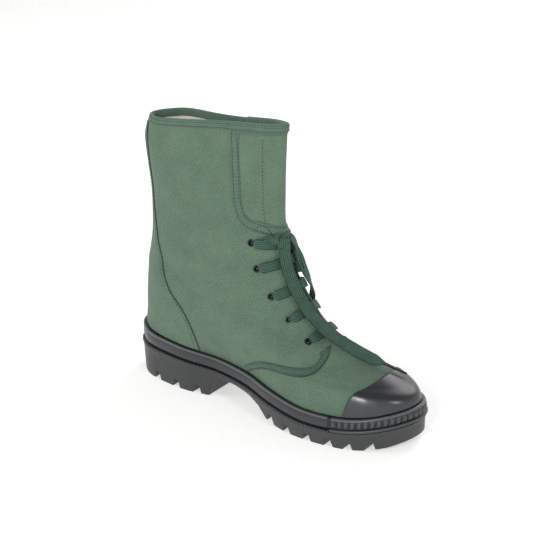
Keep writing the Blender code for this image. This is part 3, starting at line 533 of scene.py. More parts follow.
def sheetPiece(name, outer, inner, finishes, joinedRows=0, weave=None, innerFinish=0):
    # a wall between two grids of points; joinedRows are the lowest rows whose end columns are one
    rows, columns = outer.shape[:2]
    index = np.arange(rows * columns).reshape(rows, columns)
    index[:joinedRows, -1] = index[:joinedRows, 0]
    back = index + rows * columns
    low = max(joinedRows - 1, 0)

    def quads(a, b, c, d):
        return np.stack((a, b, c, d), -1).reshape(-1, 4)

    front = quads(index[:-1, :-1], index[:-1, 1:], index[1:, 1:], index[1:, :-1])
    rear = quads(back[:-1, :-1], back[1:, :-1], back[1:, 1:], back[:-1, 1:])
    sides = [quads(index[r, :-1], back[r, :-1], back[r, 1:], index[r, 1:]) for r in (0, -1)]
    for c in (0, -1):
        sides.append(quads(index[low:-1, c], index[low + 1:, c], back[low + 1:, c], back[low:-1, c]))
    faces = np.concatenate((front, rear, *sides))
    faceFinish = np.zeros(len(faces), int)
    faceFinish[len(front):len(front) + len(rear)] = innerFinish
    points = np.concatenate((outer.reshape(-1, 3), inner.reshape(-1, 3)))
    cloth = None if weave is None else np.concatenate((weave.reshape(-1, weave.shape[-1]),) * 2)
    # faces of joined columns that have lost a corner are dropped
    whole = np.array([len(set(f)) == 4 for f in faces.tolist()])
    return meshPiece(name, points, faces[whole], finishes, faceFinish[whole], cloth)


def sweepPiece(name, loops, finishes, weave=None, sharp=meshForm["sharp"]):
    # cross-section loops, places by points, joined one to the next
    places, count = loops.shape[:2]
    index = np.arange(places * count).reshape(places, count)
    here, after = index[:-1], index[1:]
    faces = np.stack((here, after, np.roll(after, -1, 1), np.roll(here, -1, 1)), -1).reshape(-1, 4).tolist()
    faces.append(index[0].tolist())
    faces.append(index[-1][::-1].tolist())
    cloth = None if weave is None else weave.reshape(-1, weave.shape[-1])
    return meshPiece(name, loops.reshape(-1, 3), faces, finishes, None, cloth, sharp)


def turned(plan, degrees):
    c, s = math.cos(math.radians(degrees)), math.sin(math.radians(degrees))
    return np.stack((plan[..., 0] * c - plan[..., 1] * s, plan[..., 0] * s + plan[..., 1] * c), -1)


def edgeSteps(count, span, rounding):
    # shares from 0 to 1, with extra ones where a sheet's edge is rounded off
    close = np.array((0.12, 0.35, 0.7, 1.0)) * rounding / span
    inside = np.linspace(close[-1], 1 - close[-1], count)
    return np.concatenate(((0.0,), close[:-1], inside, 1 - close[-2::-1], (1.0,)))


def roundedEdge(distance, rounding):
    return np.sqrt(np.clip(1 - (1 - np.clip(distance / rounding, 0, 1)) ** 2, 0, 1))


stitchRows = []  # each: points, outward directions, in boot millimetres


def seamLine(points, normals, lift):
    stitchRows.append((points + lift * normals, normals))


def placedAt(right, up, back, at):
    matrix = np.eye(4)
    matrix[:3] = np.stack((right, up, back, at), 1)
    return Matrix(matrix.tolist())


# Camera at the photo's angle, worked out for its 550-pixel frame
view = dict(turn=35.5, tilt=24.0, distance=1300.0, target=(150.0, 0.0, 110.0), pixelsPerMm=1.085,
            centrePixel=(282.4, 292.7), framePixels=550.0, lean=0.0105, lift=4.6, forward=10.0, sensor=36.0,
            nearest=0.05)


def makeCamera():
    a, e = math.radians(view["turn"]), math.radians(view["tilt"])
    right = np.array((math.cos(a), math.sin(a), 0.0))
    back = np.array((math.sin(a) * math.cos(e), -math.cos(a) * math.cos(e), math.sin(e)))
    up = np.cross(back, right)
    c, s = math.cos(view["lean"]), math.sin(view["lean"])
    lean = np.array(((c, 0, s), (0, 1, 0), (-s, 0, c)))
    eye = np.array(view["target"]) + back * view["distance"] + (view["forward"], 0, 0)
    eye = lean @ eye + (0, 0, view["lift"])
    data = bpy.data.cameras.new("photoCamera")
    data.sensor_width = view["sensor"]
    data.lens = view["pixelsPerMm"] * view["distance"] / view["framePixels"] * view["sensor"]
    data.shift_x = 0.5 - view["centrePixel"][0] / view["framePixels"]
    data.shift_y = view["centrePixel"][1] / view["framePixels"] - 0.5
    data.clip_start = view["nearest"]
    camera = newObject("photoCamera", data)
    camera.matrix_world = placedAt(lean @ right, lean @ up, lean @ back, toFrame(eye))
    bpy.context.scene.camera = camera


makeCamera()
print("camera set")

# Flat braided lace: bars over the eyelet pairs, the knot and two free ends
lace = dict(thick=1.5, section=28, ribs=6, ribHeight=0.1, sideRound=0.75, faceRound=0.55, laceEdgeShade=0.75,
            laceEdgeShadeFrom=0.8, laceEdgeShadeWidth=0.2, sharp=70)


def ribbonLoops(path, up, width, thick):
    # flat lace section with low lengthwise ribs, square to the path
    along = unit(np.gradient(path, axis=0))
    across = unit(np.cross(up, along))
    out = np.cross(along, across)
    turn = np.linspace(0, 2 * math.pi, lace["section"], endpoint=False)
    side = np.sign(np.cos(turn)) * np.abs(np.cos(turn)) ** lace["sideRound"]
    face = np.sign(np.sin(turn)) * np.abs(np.sin(turn)) ** lace["faceRound"]
    face = face * (1 + lace["ribHeight"] * np.cos(lace["ribs"] * math.pi * side))
    width = np.broadcast_to(width, len(path))[:, None, None]
    thick = np.broadcast_to(thick, len(path))[:, None, None]
    loops = path[:, None] + across[:, None] * (side[None, :, None] * width / 2)
    loops = loops + out[:, None] * (face[None, :, None] * thick / 2)
    # painted shade along the lace's two edges, carried in weave's third value
    laceEdgeShade = np.clip((np.abs(side) - lace["laceEdgeShadeFrom"]) / lace["laceEdgeShadeWidth"], 0, 1)
    laceEdgeShade = lace["laceEdgeShade"] * laceEdgeShade[None]
    weave = np.broadcast_arrays(side[None] * width[..., 0] / 2, runLength(path)[:, None], laceEdgeShade)
    return loops, np.stack(weave, -1)


def lacePiece(name, node, path, up, width, thick, shade=0.0):
    loops, weave = ribbonLoops(path, up, width, thick)
    weave[..., 2] = np.maximum(weave[..., 2], shade)
    piece = sweepPiece(name, loops, [laceGreen], weave=weave, sharp=lace["sharp"])
    finishPiece(piece, "lace", node)
    return piece


laceEnds = dict(
    # level, turn from the front in degrees, height over the canvas
    lateral=((9.44, 12.4, 8.0), (9.19, 13.2, 6.6), (8.86, 14.7, 6.2), (8.5, 15.4, 6.2), (8.13, 15.0, 6.2),
             (7.68, 14.5, 6.2), (7.17, 13.4, 6.2), (6.65, 10.5, 6.2), (5.82, 6.5, 5.6), (5.01, 3.4, 5.0),
             (4.41, -2.0, 5.2), (4.1, -7.4, 5.6), (3.89, -11.2, 5.9), (3.7, -13.7, 5.9)),
    medial=((9.445, -2.8, 9.0), (9.08, -6.2, 8.7), (8.75, -7.8, 8.3), (8.42, -10.5, 7.8), (8.12, -17.0, 6.8),
            (7.82, -27.0, 6.0), (7.4, -37.0, 5.8), (6.9, -46.0, 5.6), (6.3, -53.0, 5.2), (5.6, -59.0, 4.6),
            (4.9, -64.0, 4.4), (4.3, -68.0, 4.8), (3.75, -71.5, 5.2)),
)
endForms = dict(
    # width, its share at the knot, how much the flat side leans and which way
    lateral=(12.2, 0.8, 0.6, (0.2, -1.0, 0.2)),
    medial=(8.2, 0.3, 0.9, (0.25, -1.0, 0.1)),
)
endSet = dict(fine=400, steps=160, startLength=14.0, tipLength=13.0, tipWidth=2.4, tipThick=0.5,
              twistLength=60.0, rollFrom=75.0, rollLength=40.0)
aglet = dict(overlap=1.2, sides=14, sharp=50, profile=(
    # distance along, radius
    (0.0, 1.15), (0.3, 1.4), (2.6, 1.42), (3.2, 1.3), (12.0, 1.25), (19.6, 1.1), (20.6, 0.95), (20.9, 0.5),
))


def makeAglet(name, path):
    along = unit(path[-1] - path[-2])
    tip = path[-1] - along * aglet["overlap"]
    side = unit(np.cross(along, (0.0, 0.0, 1.0)))
    over = np.cross(side, along)
    turns = np.linspace(0, 2 * math.pi, aglet["sides"], endpoint=False)
    ring = np.cos(turns)[:, None] * side + np.sin(turns)[:, None] * over
    tube = np.array([tip + along * reach + ring * radius for reach, radius in aglet["profile"]])
    return sweepPiece(name, tube, [agletBlack], sharp=aglet["sharp"])


def makeLaceEnds():
    for word, table in laceEnds.items():
        full, startShare, lean, leanWay = endForms[word]
        level, turn, height = throughRows(table, endSet["fine"]).T
        path = liftedPoint(level, fromFront(turn), height)
        run = runLength(path)
        steps = np.linspace(0, run[-1], endSet["steps"])
        path = np.stack([np.interp(steps, run, path[:, k]) for k in range(3)], 1)
        up = lastNormal(np.interp(steps, run, level), fromFront(np.interp(steps, run, turn)))
        if word == "medial":
            # twisted at the knot, lying flat again lower down
            share = 1 - steps / endSet["twistLength"]
        else:
            # its last stretch turns its flat side outwards
            share = (steps - steps[-1] + endSet["rollFrom"]) / endSet["rollLength"]
        up = unit(up + lean * np.clip(share, 0, 1)[:, None] * leanWay)
        taper = smooth((steps[-1] - steps) / endSet["tipLength"])
        start = np.clip(steps / endSet["startLength"], 0, 1)
        spread = np.minimum(taper, startShare + (1 - startShare) * start)
        width = endSet["tipWidth"] + (full - endSet["tipWidth"]) * spread
        thick = lace["thick"] + endSet["tipThick"] * (1 - taper)
        end = lacePiece("laceEnd_" + word, "lace_end_" + word, path, up, width, thick)
        cap = makeAglet("laceTip_" + word, path)
        finishPiece(cap, "aglet_film", "aglet_" + word)
        print("lace end", word, round(float(steps[-1]), 1), "mm")


eyelets = np.array(((203.5, 82.0), (182.0, 98.5), (163.5, 117.0), (147.5, 140.5), (140.0, 163.5)))
laceBar = dict(width=9.4, holeWidth=4.6, holeThick=0.6, clear=1.95, top=164.0, steps=121, dive=2.2, early=1.5,
               rise=8.0, sway=0.35, sways=3, spreadFrom=0.5, spread=6.5, shade=0.6, shadeTurn=16.0,
               shadeWidth=9.0)


def frontLevel(x, z):
    fine = np.linspace(throatLevel, topLevel, search["levels"])
    ridge = lastPoint(fine, math.pi)[:, (0, 2)]
    nearest = fine[np.argmin(np.linalg.norm(ridge - (x, z), axis=1))]
    return min(nearest, levelAtHeight(np.array((math.pi,)), (laceBar["top"],))[0])


def makeLaceBars():
    for number, place in enumerate(eyelets, 1):
        (startLevel,), (start,) = locate(place, 1.0)
        (endLevel,), (end,) = locate(place, -1.0)
        share = np.linspace(0.0, 1.0, laceBar["steps"])
        angles = start + (2 * math.pi + end - start) * share
        levels = startLevel + (endLevel - startLevel) * share
        levels = levels + (frontLevel(*place) - levels) * np.sin(math.pi * share)
        run = runLength(lastPoint(levels, angles))
        inwards = np.minimum(run, run[-1] - run)
        rise = smooth((inwards + laceBar["early"]) / laceBar["rise"])
        height = -laceBar["dive"] + (laceBar["clear"] + lace["thick"] / 2 + laceBar["dive"]) * rise
        height = height + laceBar["sway"] * np.sin(run / run[-1] * math.pi * laceBar["sways"] + number) * rise
        path = liftedPoint(levels, angles, height)
        spread = np.clip((inwards - laceBar["spreadFrom"]) / laceBar["spread"], 0, 1)
        width = laceBar["holeWidth"] + (laceBar["width"] - laceBar["holeWidth"]) * smooth(spread)
        thick = lace["thick"] + laceBar["holeThick"] * (1 - spread)
        aside = (np.degrees(math.pi - angles) - laceBar["shadeTurn"]) / laceBar["shadeWidth"]
        shade = laceBar["shade"] * np.exp(-aside ** 2)[:, None]
        up = lastNormal(levels, angles)
        lacePiece(f"laceBar_{number}", f"lace_bar_{number}", path, up, width, thick, shade)


knot = dict(level=9.58, turn=4.0, depth=2.125, steps=60)
knotRuns = (
    # width, then level, turn and height as for the ends
    (12.6, ((9.4, 12.8, 7.6), (9.58, 12.0, 8.8), (9.73, 11.0, 8.6), (9.8, 9.0, 6.6), (9.72, 7.6, 4.9),
            (9.58, 6.4, 4.6))),
    (9.0, ((9.3, -4.4, 8.9), (9.5, -2.0, 9.9), (9.68, 1.4, 10.2), (9.8, 4.4, 8.6), (9.8, 6.6, 6.4),
           (9.64, 8.0, 5.0))),
    (7.0, ((9.52, 3.0, 6.2), (9.58, 12.0, 5.8), (9.64, 20.0, 5.0), (9.68, 27.0, 4.4), (9.66, 33.0, 3.8))),
    (11.5, ((9.72, -8.0, 3.5), (9.5, -8.5, 4.2), (9.25, -9.0, 4.6), (8.95, -8.5, 4.2), (8.62, -6.5, 3.2))),
    (6.4, ((9.56, 16.0, 5.2), (9.66, 19.5, 6.4), (9.78, 18.0, 6.6), (9.86, 14.5, 5.2), (9.82, 11.0, 4.4))),
)


def makeKnot():
    # the lace lies flat round the knot's middle
    middle = liftedPoint(knot["level"], fromFront(knot["turn"]), knot["depth"])
    for number, (width, table) in enumerate(knotRuns, 1):
        level, turn, height = throughRows(table, knot["steps"]).T
        path = liftedPoint(level, fromFront(turn), height)
        along = unit(np.gradient(path, axis=0))
        up = path - middle
        up = unit(up - np.sum(up * along, -1, keepdims=True) * along)
        lacePiece(f"laceKnot_{number}", "lace_knot", path, up, width, lace["thick"])


makeLaceEnds()
makeLaceBars()
makeKnot()
print("lace threaded")

# Canvas upper: one wall from the feather line to the collar, open at the throat
upperSet = dict(wall=1.8, rowsPerLevel=9, columns=250, throatHalfGap=7.0, throatRound=0.9, shaftMiddle=120.0,
                quarterTurn=-35.0, vampTurn=6.0, vampSlope=0.75, vampTop=400.0, edgePoints=120)
quarterEdge = np.array((
    # x, z from the throat down to the band
    (219.0, 79.8), (223.8, 75.2), (224.6, 69.6), (221.0, 61.4), (210.5, 57.0),
    (196.0, 55.0), (180.0, 54.0), (165.0, 51.0), (150.0, 43.5), (143.0, 38.5),
))


def slitAngle(level):
    if level <= throatLevel:
        return 0.0
    half = upperSet["throatHalfGap"] * min(1.0, math.sqrt((level - throatLevel) / upperSet["throatRound"]))

    def pastEdge(p):
        return np.where(p[:, 0] < upperSet["shaftMiddle"], -1.0, half + p[:, 1])

    return math.pi - angleAt(level, pastEdge, 1.0)


def panelWeave(points):
    # quarters are cut on the slant, the vamp along the foot
    x, y, z = np.moveaxis(points, -1, 0)
    line = throughRows(quarterEdge, upperSet["edgePoints"])[::-1]
    vamp = z < np.interp(x, line[:, 0], line[:, 1], left=0.0, right=upperSet["vampTop"])
    over = turned(np.stack((x, upperSet["vampSlope"] * (z - np.abs(y))), -1), upperSet["vampTurn"])
    side = turned(np.stack((x, z), -1), upperSet["quarterTurn"])
    return np.where(vamp[..., None], over, side)


def makeUpper():
    levels = np.linspace(0.0, topLevel, int(topLevel * upperSet["rowsPerLevel"]) + 1)
    turn = np.linspace(-1.0, 1.0, upperSet["columns"] + 1)
    angles = np.array([turn * (math.pi - slitAngle(level)) for level in levels])
    grid = np.repeat(levels[:, None], len(turn), 1)
    outer = skin(grid, angles, 0.0)
    inner = skin(grid, angles, -upperSet["wall"])
    joined = int(np.sum(levels <= throatLevel))
    upper = sheetPiece("canvasUpper", outer, inner, [canvasGreen, liningCream], joined,
                       panelWeave(outer), innerFinish=1)
    finishPiece(upper, "canvas", "upper")


makeUpper()
print("upper built")

# Overlays: a sheet over the canvas with rounded edges
overlay = dict(rim=0.05, rounding=1.2, shadeFrom=1.25, shadeWidth=1.3)


def rimShade(edge):
    return np.clip(overlay["shadeFrom"] - edge / overlay["shadeWidth"], 0, 1)


def overlayPiece(name, node, slotName, finish, settings, levels, angles, edge, edgeShade, weave):
    # edge is each point's distance from the sheet's free edge
    low, thick, rim = settings["low"], settings["thick"], overlay["rim"]
    top = low + rim + (thick - rim) * roundedEdge(edge, min(thick, overlay["rounding"]))
    outer = skin(levels, angles, top)
    inner = skin(levels, angles, low)
    weave = raised(weave, edgeShade * rimShade(edge))
    finishPiece(sheetPiece(name, outer, inner, [finish], weave=weave), slotName, node)
    return outer


tongueSet = dict(thick=2.0, drop=0.5, halfWidth=24.0, low=5.0, high=10.6, rows=60, columns=50, fine=200,
                 turn=35.0)


def makeTongue():
    rows = np.linspace(tongueSet["low"], tongueSet["high"], tongueSet["rows"])
    fine = np.linspace(0.0, math.pi / 2, tongueSet["fine"])
    angles = []
    for level in rows:
        runs = [runLength(lastPoint(level, side * (math.pi - fine))) for side in (1.0, -1.0)]
        left, right = [np.interp(tongueSet["halfWidth"], run, fine) for run in runs]
        angles.append(np.linspace(math.pi - left, math.pi + right, tongueSet["columns"]))
    angles = np.array(angles)
    levels = np.repeat(rows[:, None], tongueSet["columns"], 1)
    top = -upperSet["wall"] - tongueSet["drop"]
    outer = liftedPoint(levels, angles, top)
    inner = liftedPoint(levels, angles, top - tongueSet["thick"])
    weave = turned(lastPoint(levels, angles)[..., 1:], tongueSet["turn"])
    tongue = sheetPiece("canvasTongue", outer, inner, [canvasGreen, liningCream], weave=weave, innerFinish=1)
    finishPiece(tongue, "canvas", "tongue")


capSet = dict(rear=272.5, sweep=17.5, sweepWidth=45.0, foot=bandLevel + 0.07, thick=2.0, low=0.1, columns=160,
              rows=60, span=60.0, edgeRows=1.6, edgeRound=1.3, highest=5.0, fine=400)


def makeToeCap():
    def pastEdge(p):
        aside = np.abs(p[..., 1] - sole["toeSwing"]) / capSet["sweepWidth"]
        return p[..., 0] - capSet["rear"] + capSet["sweep"] * aside ** 2

    foot, rim = capSet["foot"], overlay["rim"]
    lateral = angleAt(foot, pastEdge, 1.0)
    medial = 2 * math.pi + angleAt(foot, pastEdge, -1.0)
    share = (1 - np.cos(np.linspace(0.0, math.pi, capSet["columns"]))) / 2
    columns = lateral + (medial - lateral) * share
    fine = np.linspace(foot, capSet["highest"], capSet["fine"])
    reach = pastEdge(lastPoint(fine[:, None], columns[None]))
    tops = np.array([np.interp(0.0, -reach[:, k], fine) for k in range(len(columns))])
    rows = edgeSteps(capSet["rows"], capSet["span"], capSet["edgeRows"])
    levels = foot + (tops - foot)[None] * rows[:, None]
    angles = np.repeat(columns[None], len(rows), 0)
    surface = lastPoint(levels, angles)
    border = surface[-1, ::2]
    edge = np.min(np.linalg.norm(surface[:, :, None] - border[None, None], axis=-1), axis=-1)
    top = capSet["low"] + rim + (capSet["thick"] - rim) * roundedEdge(edge, capSet["edgeRound"])
    outer = liftedPoint(levels, angles, top)
    inner = liftedPoint(levels, angles, capSet["low"])
    cap = sheetPiece("rubberToeCap", outer, inner, [capRubber])
    finishPiece(cap, "cap_rubber", "toe_cap")


counterSet = dict(thick=1.1, low=0.05, top=12.6, rows=120, columns=60, span=80.0, edgeRows=1.2, shade=0.85,
                  stitch=4.2, stitchLift=0.12, skipped=2, turn=-35.0)
counterEdge = np.array((
    # z, x
    (44.0, 84.5), (66.5, 80.5), (85.0, 70.0), (101.0, 54.0), (120.5, 44.0),
    (141.5, 38.5), (177.5, 28.5), (229.5, 21.5), (262.0, 17.0),
))


def makeHeelCounter():
    def pastEdge(p):
        return p[..., 0] - curveThrough(counterEdge[:, 0], counterEdge[:, 1], p[..., 2])

    rows = np.linspace(capSet["foot"], counterSet["top"], counterSet["rows"])
    share = edgeSteps(counterSet["columns"], counterSet["span"], counterSet["edgeRows"])
    angles = []
    for level in rows:
        left = angleAt(level, pastEdge, -1.0)
        right = angleAt(level, pastEdge, 1.0)
        angles.append(left + (right - left) * share)
    angles = np.array(angles)
    levels = np.repeat(rows[:, None], len(share), 1)
    flat = lastPoint(levels, angles)
    across = rowLength(flat)
    back = across[:, -1:] - across
    weave = turned(np.stack((across - across[:, -1:] / 2, flat[..., 2]), -1), counterSet["turn"])
    outer = overlayPiece("canvasCounter", "heel_counter", "canvas", canvasGreen, counterSet, levels, angles,
                         np.minimum(across, back), counterSet["shade"], weave)
    normals = lastNormal(levels, angles)
    line = np.arange(counterSet["skipped"], len(rows))
    for distance in (back, across):
        column = np.argmin(np.abs(distance - counterSet["stitch"]), axis=1)[line]
        seamLine(outer[line, column], normals[line, column], counterSet["stitchLift"])


seamSet = dict(width=7.5, lobeWidth=6.0, lobeStart=5, lobeFade=25.0, lobeRest=0.4, thick=0.8, low=0.1,
               points=150, rows=8, edgeRows=0.9, frontShade=0.85, rearShade=0.3, stitches=(1.6, 5.5),
               stitchLift=0.1)


def makeQuarterTapes():
    full = seamSet["width"]
    line = throughRows(quarterEdge, seamSet["points"])[seamSet["lobeStart"]:]
    along = unit(np.gradient(line, axis=0))
    widen = np.clip(runLength(line) / seamSet["lobeFade"] - seamSet["lobeRest"], 0, 1)
    width = seamSet["lobeWidth"] + (full - seamSet["lobeWidth"]) * widen
    inwards = np.stack((along[:, 1], -along[:, 0]), 1) * width[:, None]
    share = edgeSteps(seamSet["rows"], full, seamSet["edgeRows"])
    edge = np.repeat(np.minimum(share, 1 - share)[:, None] * full, len(line), 1)
    edgeShade = np.where(share < 0.5, seamSet["frontShade"], seamSet["rearShade"])[:, None]
    for word, side in (("lateral", 1.0), ("medial", -1.0)):
        levels, angles = np.moveaxis([locate(line + s * inwards, side) for s in share], 1, 0)
        levels = np.maximum(levels, capSet["foot"])
        run = rowLength(lastPoint(levels, angles))
        weave = np.stack(np.broadcast_arrays(share[:, None] * full, run), -1)
        outer = overlayPiece("quarterTape_" + word, "quarter_seam_" + word, "tape", seamGreen, seamSet,
                             levels, angles, edge, edgeShade, weave)
        normals = lastNormal(levels, angles)
        for reach in seamSet["stitches"]:
            row = np.argmin(np.abs(share * full - reach))
            seamLine(outer[row], normals[row], seamSet["stitchLift"])


flapSet = dict(thick=1.8, low=0.5, topEdge=113.5, medialEdge=122.0, columns=150, rows=130, wide=110.0,
               high=100.0, edgeRows=1.6, edgeRound=1.2, turn=62.0, shade=0.7)
hemTape = dict(width=8.6, step=0.5, sharpness=7, blend=-4.0, blendFrom=0.3, shade=0.35, shadeWidth=0.7)
hemCurl = dict(height=2.6, reach=5.0, middle=0.5, spread=0.16, inner=0.9)
flapStitch = dict(rows=(1.7, 7.0), lift=0.1, search=60, side=(12, 8), hem=(14, 8), panel=0.235,
                  panelLift=0.05, panelEnds=(14, 12))
flapRows = np.array((
    # edge z, edge x, front z
    (173.5, 149.0, 170.5), (177.5, 135.5, 173.0), (185.5, 126.5, 180.0), (200.5, 121.0, 197.0),
    (215.0, 119.0, 213.5), (230.0, 117.5, 230.0), (247.0, 116.0, 249.0),
))


def pointTree(points):
    tree = kdtree.KDTree(len(points))
    for k, point in enumerate(points):
        tree.insert(point, k)
    tree.balance()
    return tree


def flapGrid(share):
    # levels and angles from rows laid at given heights, the last along the collar
    levels, angles = [], []
    for edgeZ, edgeX, frontZ in flapRows:
        start = locate((edgeX, edgeZ), 1.0)[1][0]
        end = locate((flapSet["medialEdge"], edgeZ), -1.0)[1][0] + 2 * math.pi
        angles.append(start + (end - start) * share)
        heights = edgeZ + (frontZ - edgeZ) * np.sin(math.pi * share)
        levels.append(levelAtHeight(angles[-1], heights))
    start = angleAt(topLevel, lambda p: p[:, 0] - flapSet["topEdge"], 1.0)
    end = angleAt(topLevel, lambda p: p[:, 0] - flapSet["medialEdge"], -1.0) + 2 * math.pi
    angles.append(start + (end - start) * share)
    levels.append(np.full(len(share), topLevel))
    knots = np.arange(len(levels), dtype=float)
    rows = edgeSteps(flapSet["rows"], flapSet["high"], flapSet["edgeRows"]) * knots[-1]
    return np.minimum(curveThrough(knots, levels, rows), topLevel), curveThrough(knots, angles, rows)


def sewFlap(outer, normals, away, share):
    # two rows along the lateral edge and the hem, and one down the panel
    count = flapStitch["search"]
    for reach in flapStitch["rows"]:
        low, high = flapStitch["side"]
        sideRows = np.arange(len(outer) - high, low, -1)
        sideColumns = np.argmin(np.abs(away[0][sideRows, :count] - reach), axis=1)
        low, high = flapStitch["hem"]
        hemColumns = np.arange(low, len(share) - high)
        hemRows = np.argmin(np.abs(away[1][:count, hemColumns] - reach), axis=0)
        for r, c in ((sideRows, sideColumns), (hemRows, hemColumns)):
            seamLine(outer[r, c], normals[r, c], flapStitch["lift"])
    column = int(np.argmin(np.abs(share - flapStitch["panel"])))
    rows = slice(flapStitch["panelEnds"][0], -flapStitch["panelEnds"][1])
    seamLine(outer[rows, column], normals[rows, column], flapStitch["panelLift"])


def makeFlap():
    share = edgeSteps(flapSet["columns"], flapSet["wide"], flapSet["edgeRows"])
    levels, angles = flapGrid(share)
    flat = lastPoint(levels, angles)
    normals = lastNormal(levels, angles)
    # distances from the lateral edge, the hem, the collar and the medial edge
    away = []
    for border in (flat[:, 0], flat[0], flat[-1], flat[:, -1]):
        tree = pointTree(border)
        away.append(np.array([tree.find(p)[2] for p in flat.reshape(-1, 3)]).reshape(levels.shape))
    free = np.minimum.reduce(away)
    blend = hemTape["blend"]
    taped = np.sum([(d + hemTape["blendFrom"]) ** blend for d in away[:3]], axis=0) ** (1 / blend)
    step = 1 / (1 + np.exp((taped - hemTape["width"]) * hemTape["sharpness"]))
    curl = hemCurl["height"] * np.exp(-(away[1] / hemCurl["reach"]) ** 2)
    curl = curl * np.exp(-((share[None] - hemCurl["middle"]) / hemCurl["spread"]) ** 2)
    rise = (flapSet["thick"] + hemTape["step"] * step) * roundedEdge(free, flapSet["edgeRound"])
    lift = creaseHeight(flat)
    outer = flat + (flapSet["low"] + overlay["rim"] + rise + curl + lift)[..., None] * normals
    inner = flat + (flapSet["low"] + lift + hemCurl["inner"] * curl)[..., None] * normals
    across, upwards = rowLength(flat), runLength(flat)
    cloth = turned(np.stack((across, upwards), -1), flapSet["turn"])
    tape = np.stack((taped, np.where(away[0] < away[1], upwards, across)), -1)
    weave = np.where((step > 0.5)[..., None], tape, cloth)
    shade = flapSet["shade"] * rimShade(free)
    shade = shade + hemTape["shade"] * np.exp(-((taped - hemTape["width"]) / hemTape["shadeWidth"]) ** 2)
    flap = sheetPiece("canvasFlap", outer, inner, [canvasGreen, tapeGreen], weave=raised(weave, shade))
    # tape faces take the tape's finish
    polygons = flap.data.polygons
    centres = np.zeros(len(polygons) * 3, np.float32)
    polygons.foreach_get("center", centres)
    centres = centres.reshape(-1, 3) / mm + bootOrigin
    tree = pointTree(outer.reshape(-1, 3))
    onTape = step.ravel()[[tree.find(c)[1] for c in centres]] > 0.5
    polygons.foreach_set("material_index", onTape.astype(np.int32))
    finishPiece(flap, "canvas", "front_flap")
    sewFlap(outer, normals, away, share)


bindingSet = dict(drop=6.5, thick=0.9, crown=1.25, lift=0.1, endGap=2.1, overlap=(0.8, 4.0),
                  points=(240, 120), outerSteps=(0.5, 2.0, 3.5, 5.0), innerSteps=(5.0, 2.0, 0.0), turns=9,
                  foldEdge=0.6, fold=0.4, innerGap=0.2, innerLift=0.3, shade=0.8, stitches=(1.5, 5.4),
                  stitchLift=0.1)


def bindEdge(name, angles, lift, *nodes):
    # a tape folded over the collar's edge, lift being its height over the canvas outside
    below = topLevel - slopeStep
    perLevel = np.linalg.norm(lastPoint(topLevel, angles) - lastPoint(below, angles), axis=-1) / slopeStep
    wall, thick, drop, fold = upperSet["wall"], bindingSet["thick"], bindingSet["drop"], bindingSet["fold"]

    def outside(dropMm, height):
        return skin(topLevel - dropMm / perLevel, angles, height)

    loop = [outside(drop, lift), outside(drop, lift + bindingSet["foldEdge"] * thick)]
    loop += [outside(drop - d, lift + thick) for d in bindingSet["outerSteps"]]
    half = (wall + lift) / 2 + thick
    for turn in np.linspace(0.0, math.pi, bindingSet["turns"]):
        height = (lift - wall) / 2 + half * math.cos(turn)
        loop.append(outside(0.0, height) + (0, 0, bindingSet["crown"] * math.sin(turn)))
    inside = -wall - bindingSet["innerGap"] - bindingSet["innerLift"] * lift
    loop += [outside(drop - d, inside - thick) for d in bindingSet["innerSteps"]]
    loop += [outside(drop, inside), outside(fold, inside), outside(fold, lift)]
    loops = np.stack(loop, 1)
    across = rowLength(loops)
    shade = np.zeros(across.shape)
    shade[:, :2] = bindingSet["shade"]
    run = runLength(lastPoint(topLevel, angles))[:, None]
    weave = np.stack(np.broadcast_arrays(across, run, shade), -1)
    finishPiece(sweepPiece(name, loops, [tapeGreen], weave=weave), "tape", *nodes)
    for reach in bindingSet["stitches"]:
        level = topLevel - reach / perLevel
        seamLine(outside(reach, lift + thick), lastNormal(level, angles), bindingSet["stitchLift"])


def makeBindings():
    edges = []
    for side, word, overlap in zip((1.0, -1.0), ("topEdge", "medialEdge"), bindingSet["overlap"]):
        for endGap in (bindingSet["endGap"], overlap):
            edges.append(angleAt(topLevel, lambda p: p[:, 0] - flapSet[word] + endGap, side))
    lateral, flapStart, medial, flapEnd = edges
    collar, flap = bindingSet["points"]
    bindEdge("collarTape", np.linspace(medial, lateral, collar), bindingSet["lift"], "collar_binding")
    flapTop = flapSet["low"] + flapSet["thick"] + hemTape["step"] + bindingSet["lift"]
    bindEdge("flapTopTape", np.linspace(flapStart, flapEnd + 2 * math.pi, flap), flapTop)


makeTongue()
makeToeCap()
makeHeelCounter()
makeQuarterTapes()
makeFlap()
makeBindings()
print("panels and tapes laid")

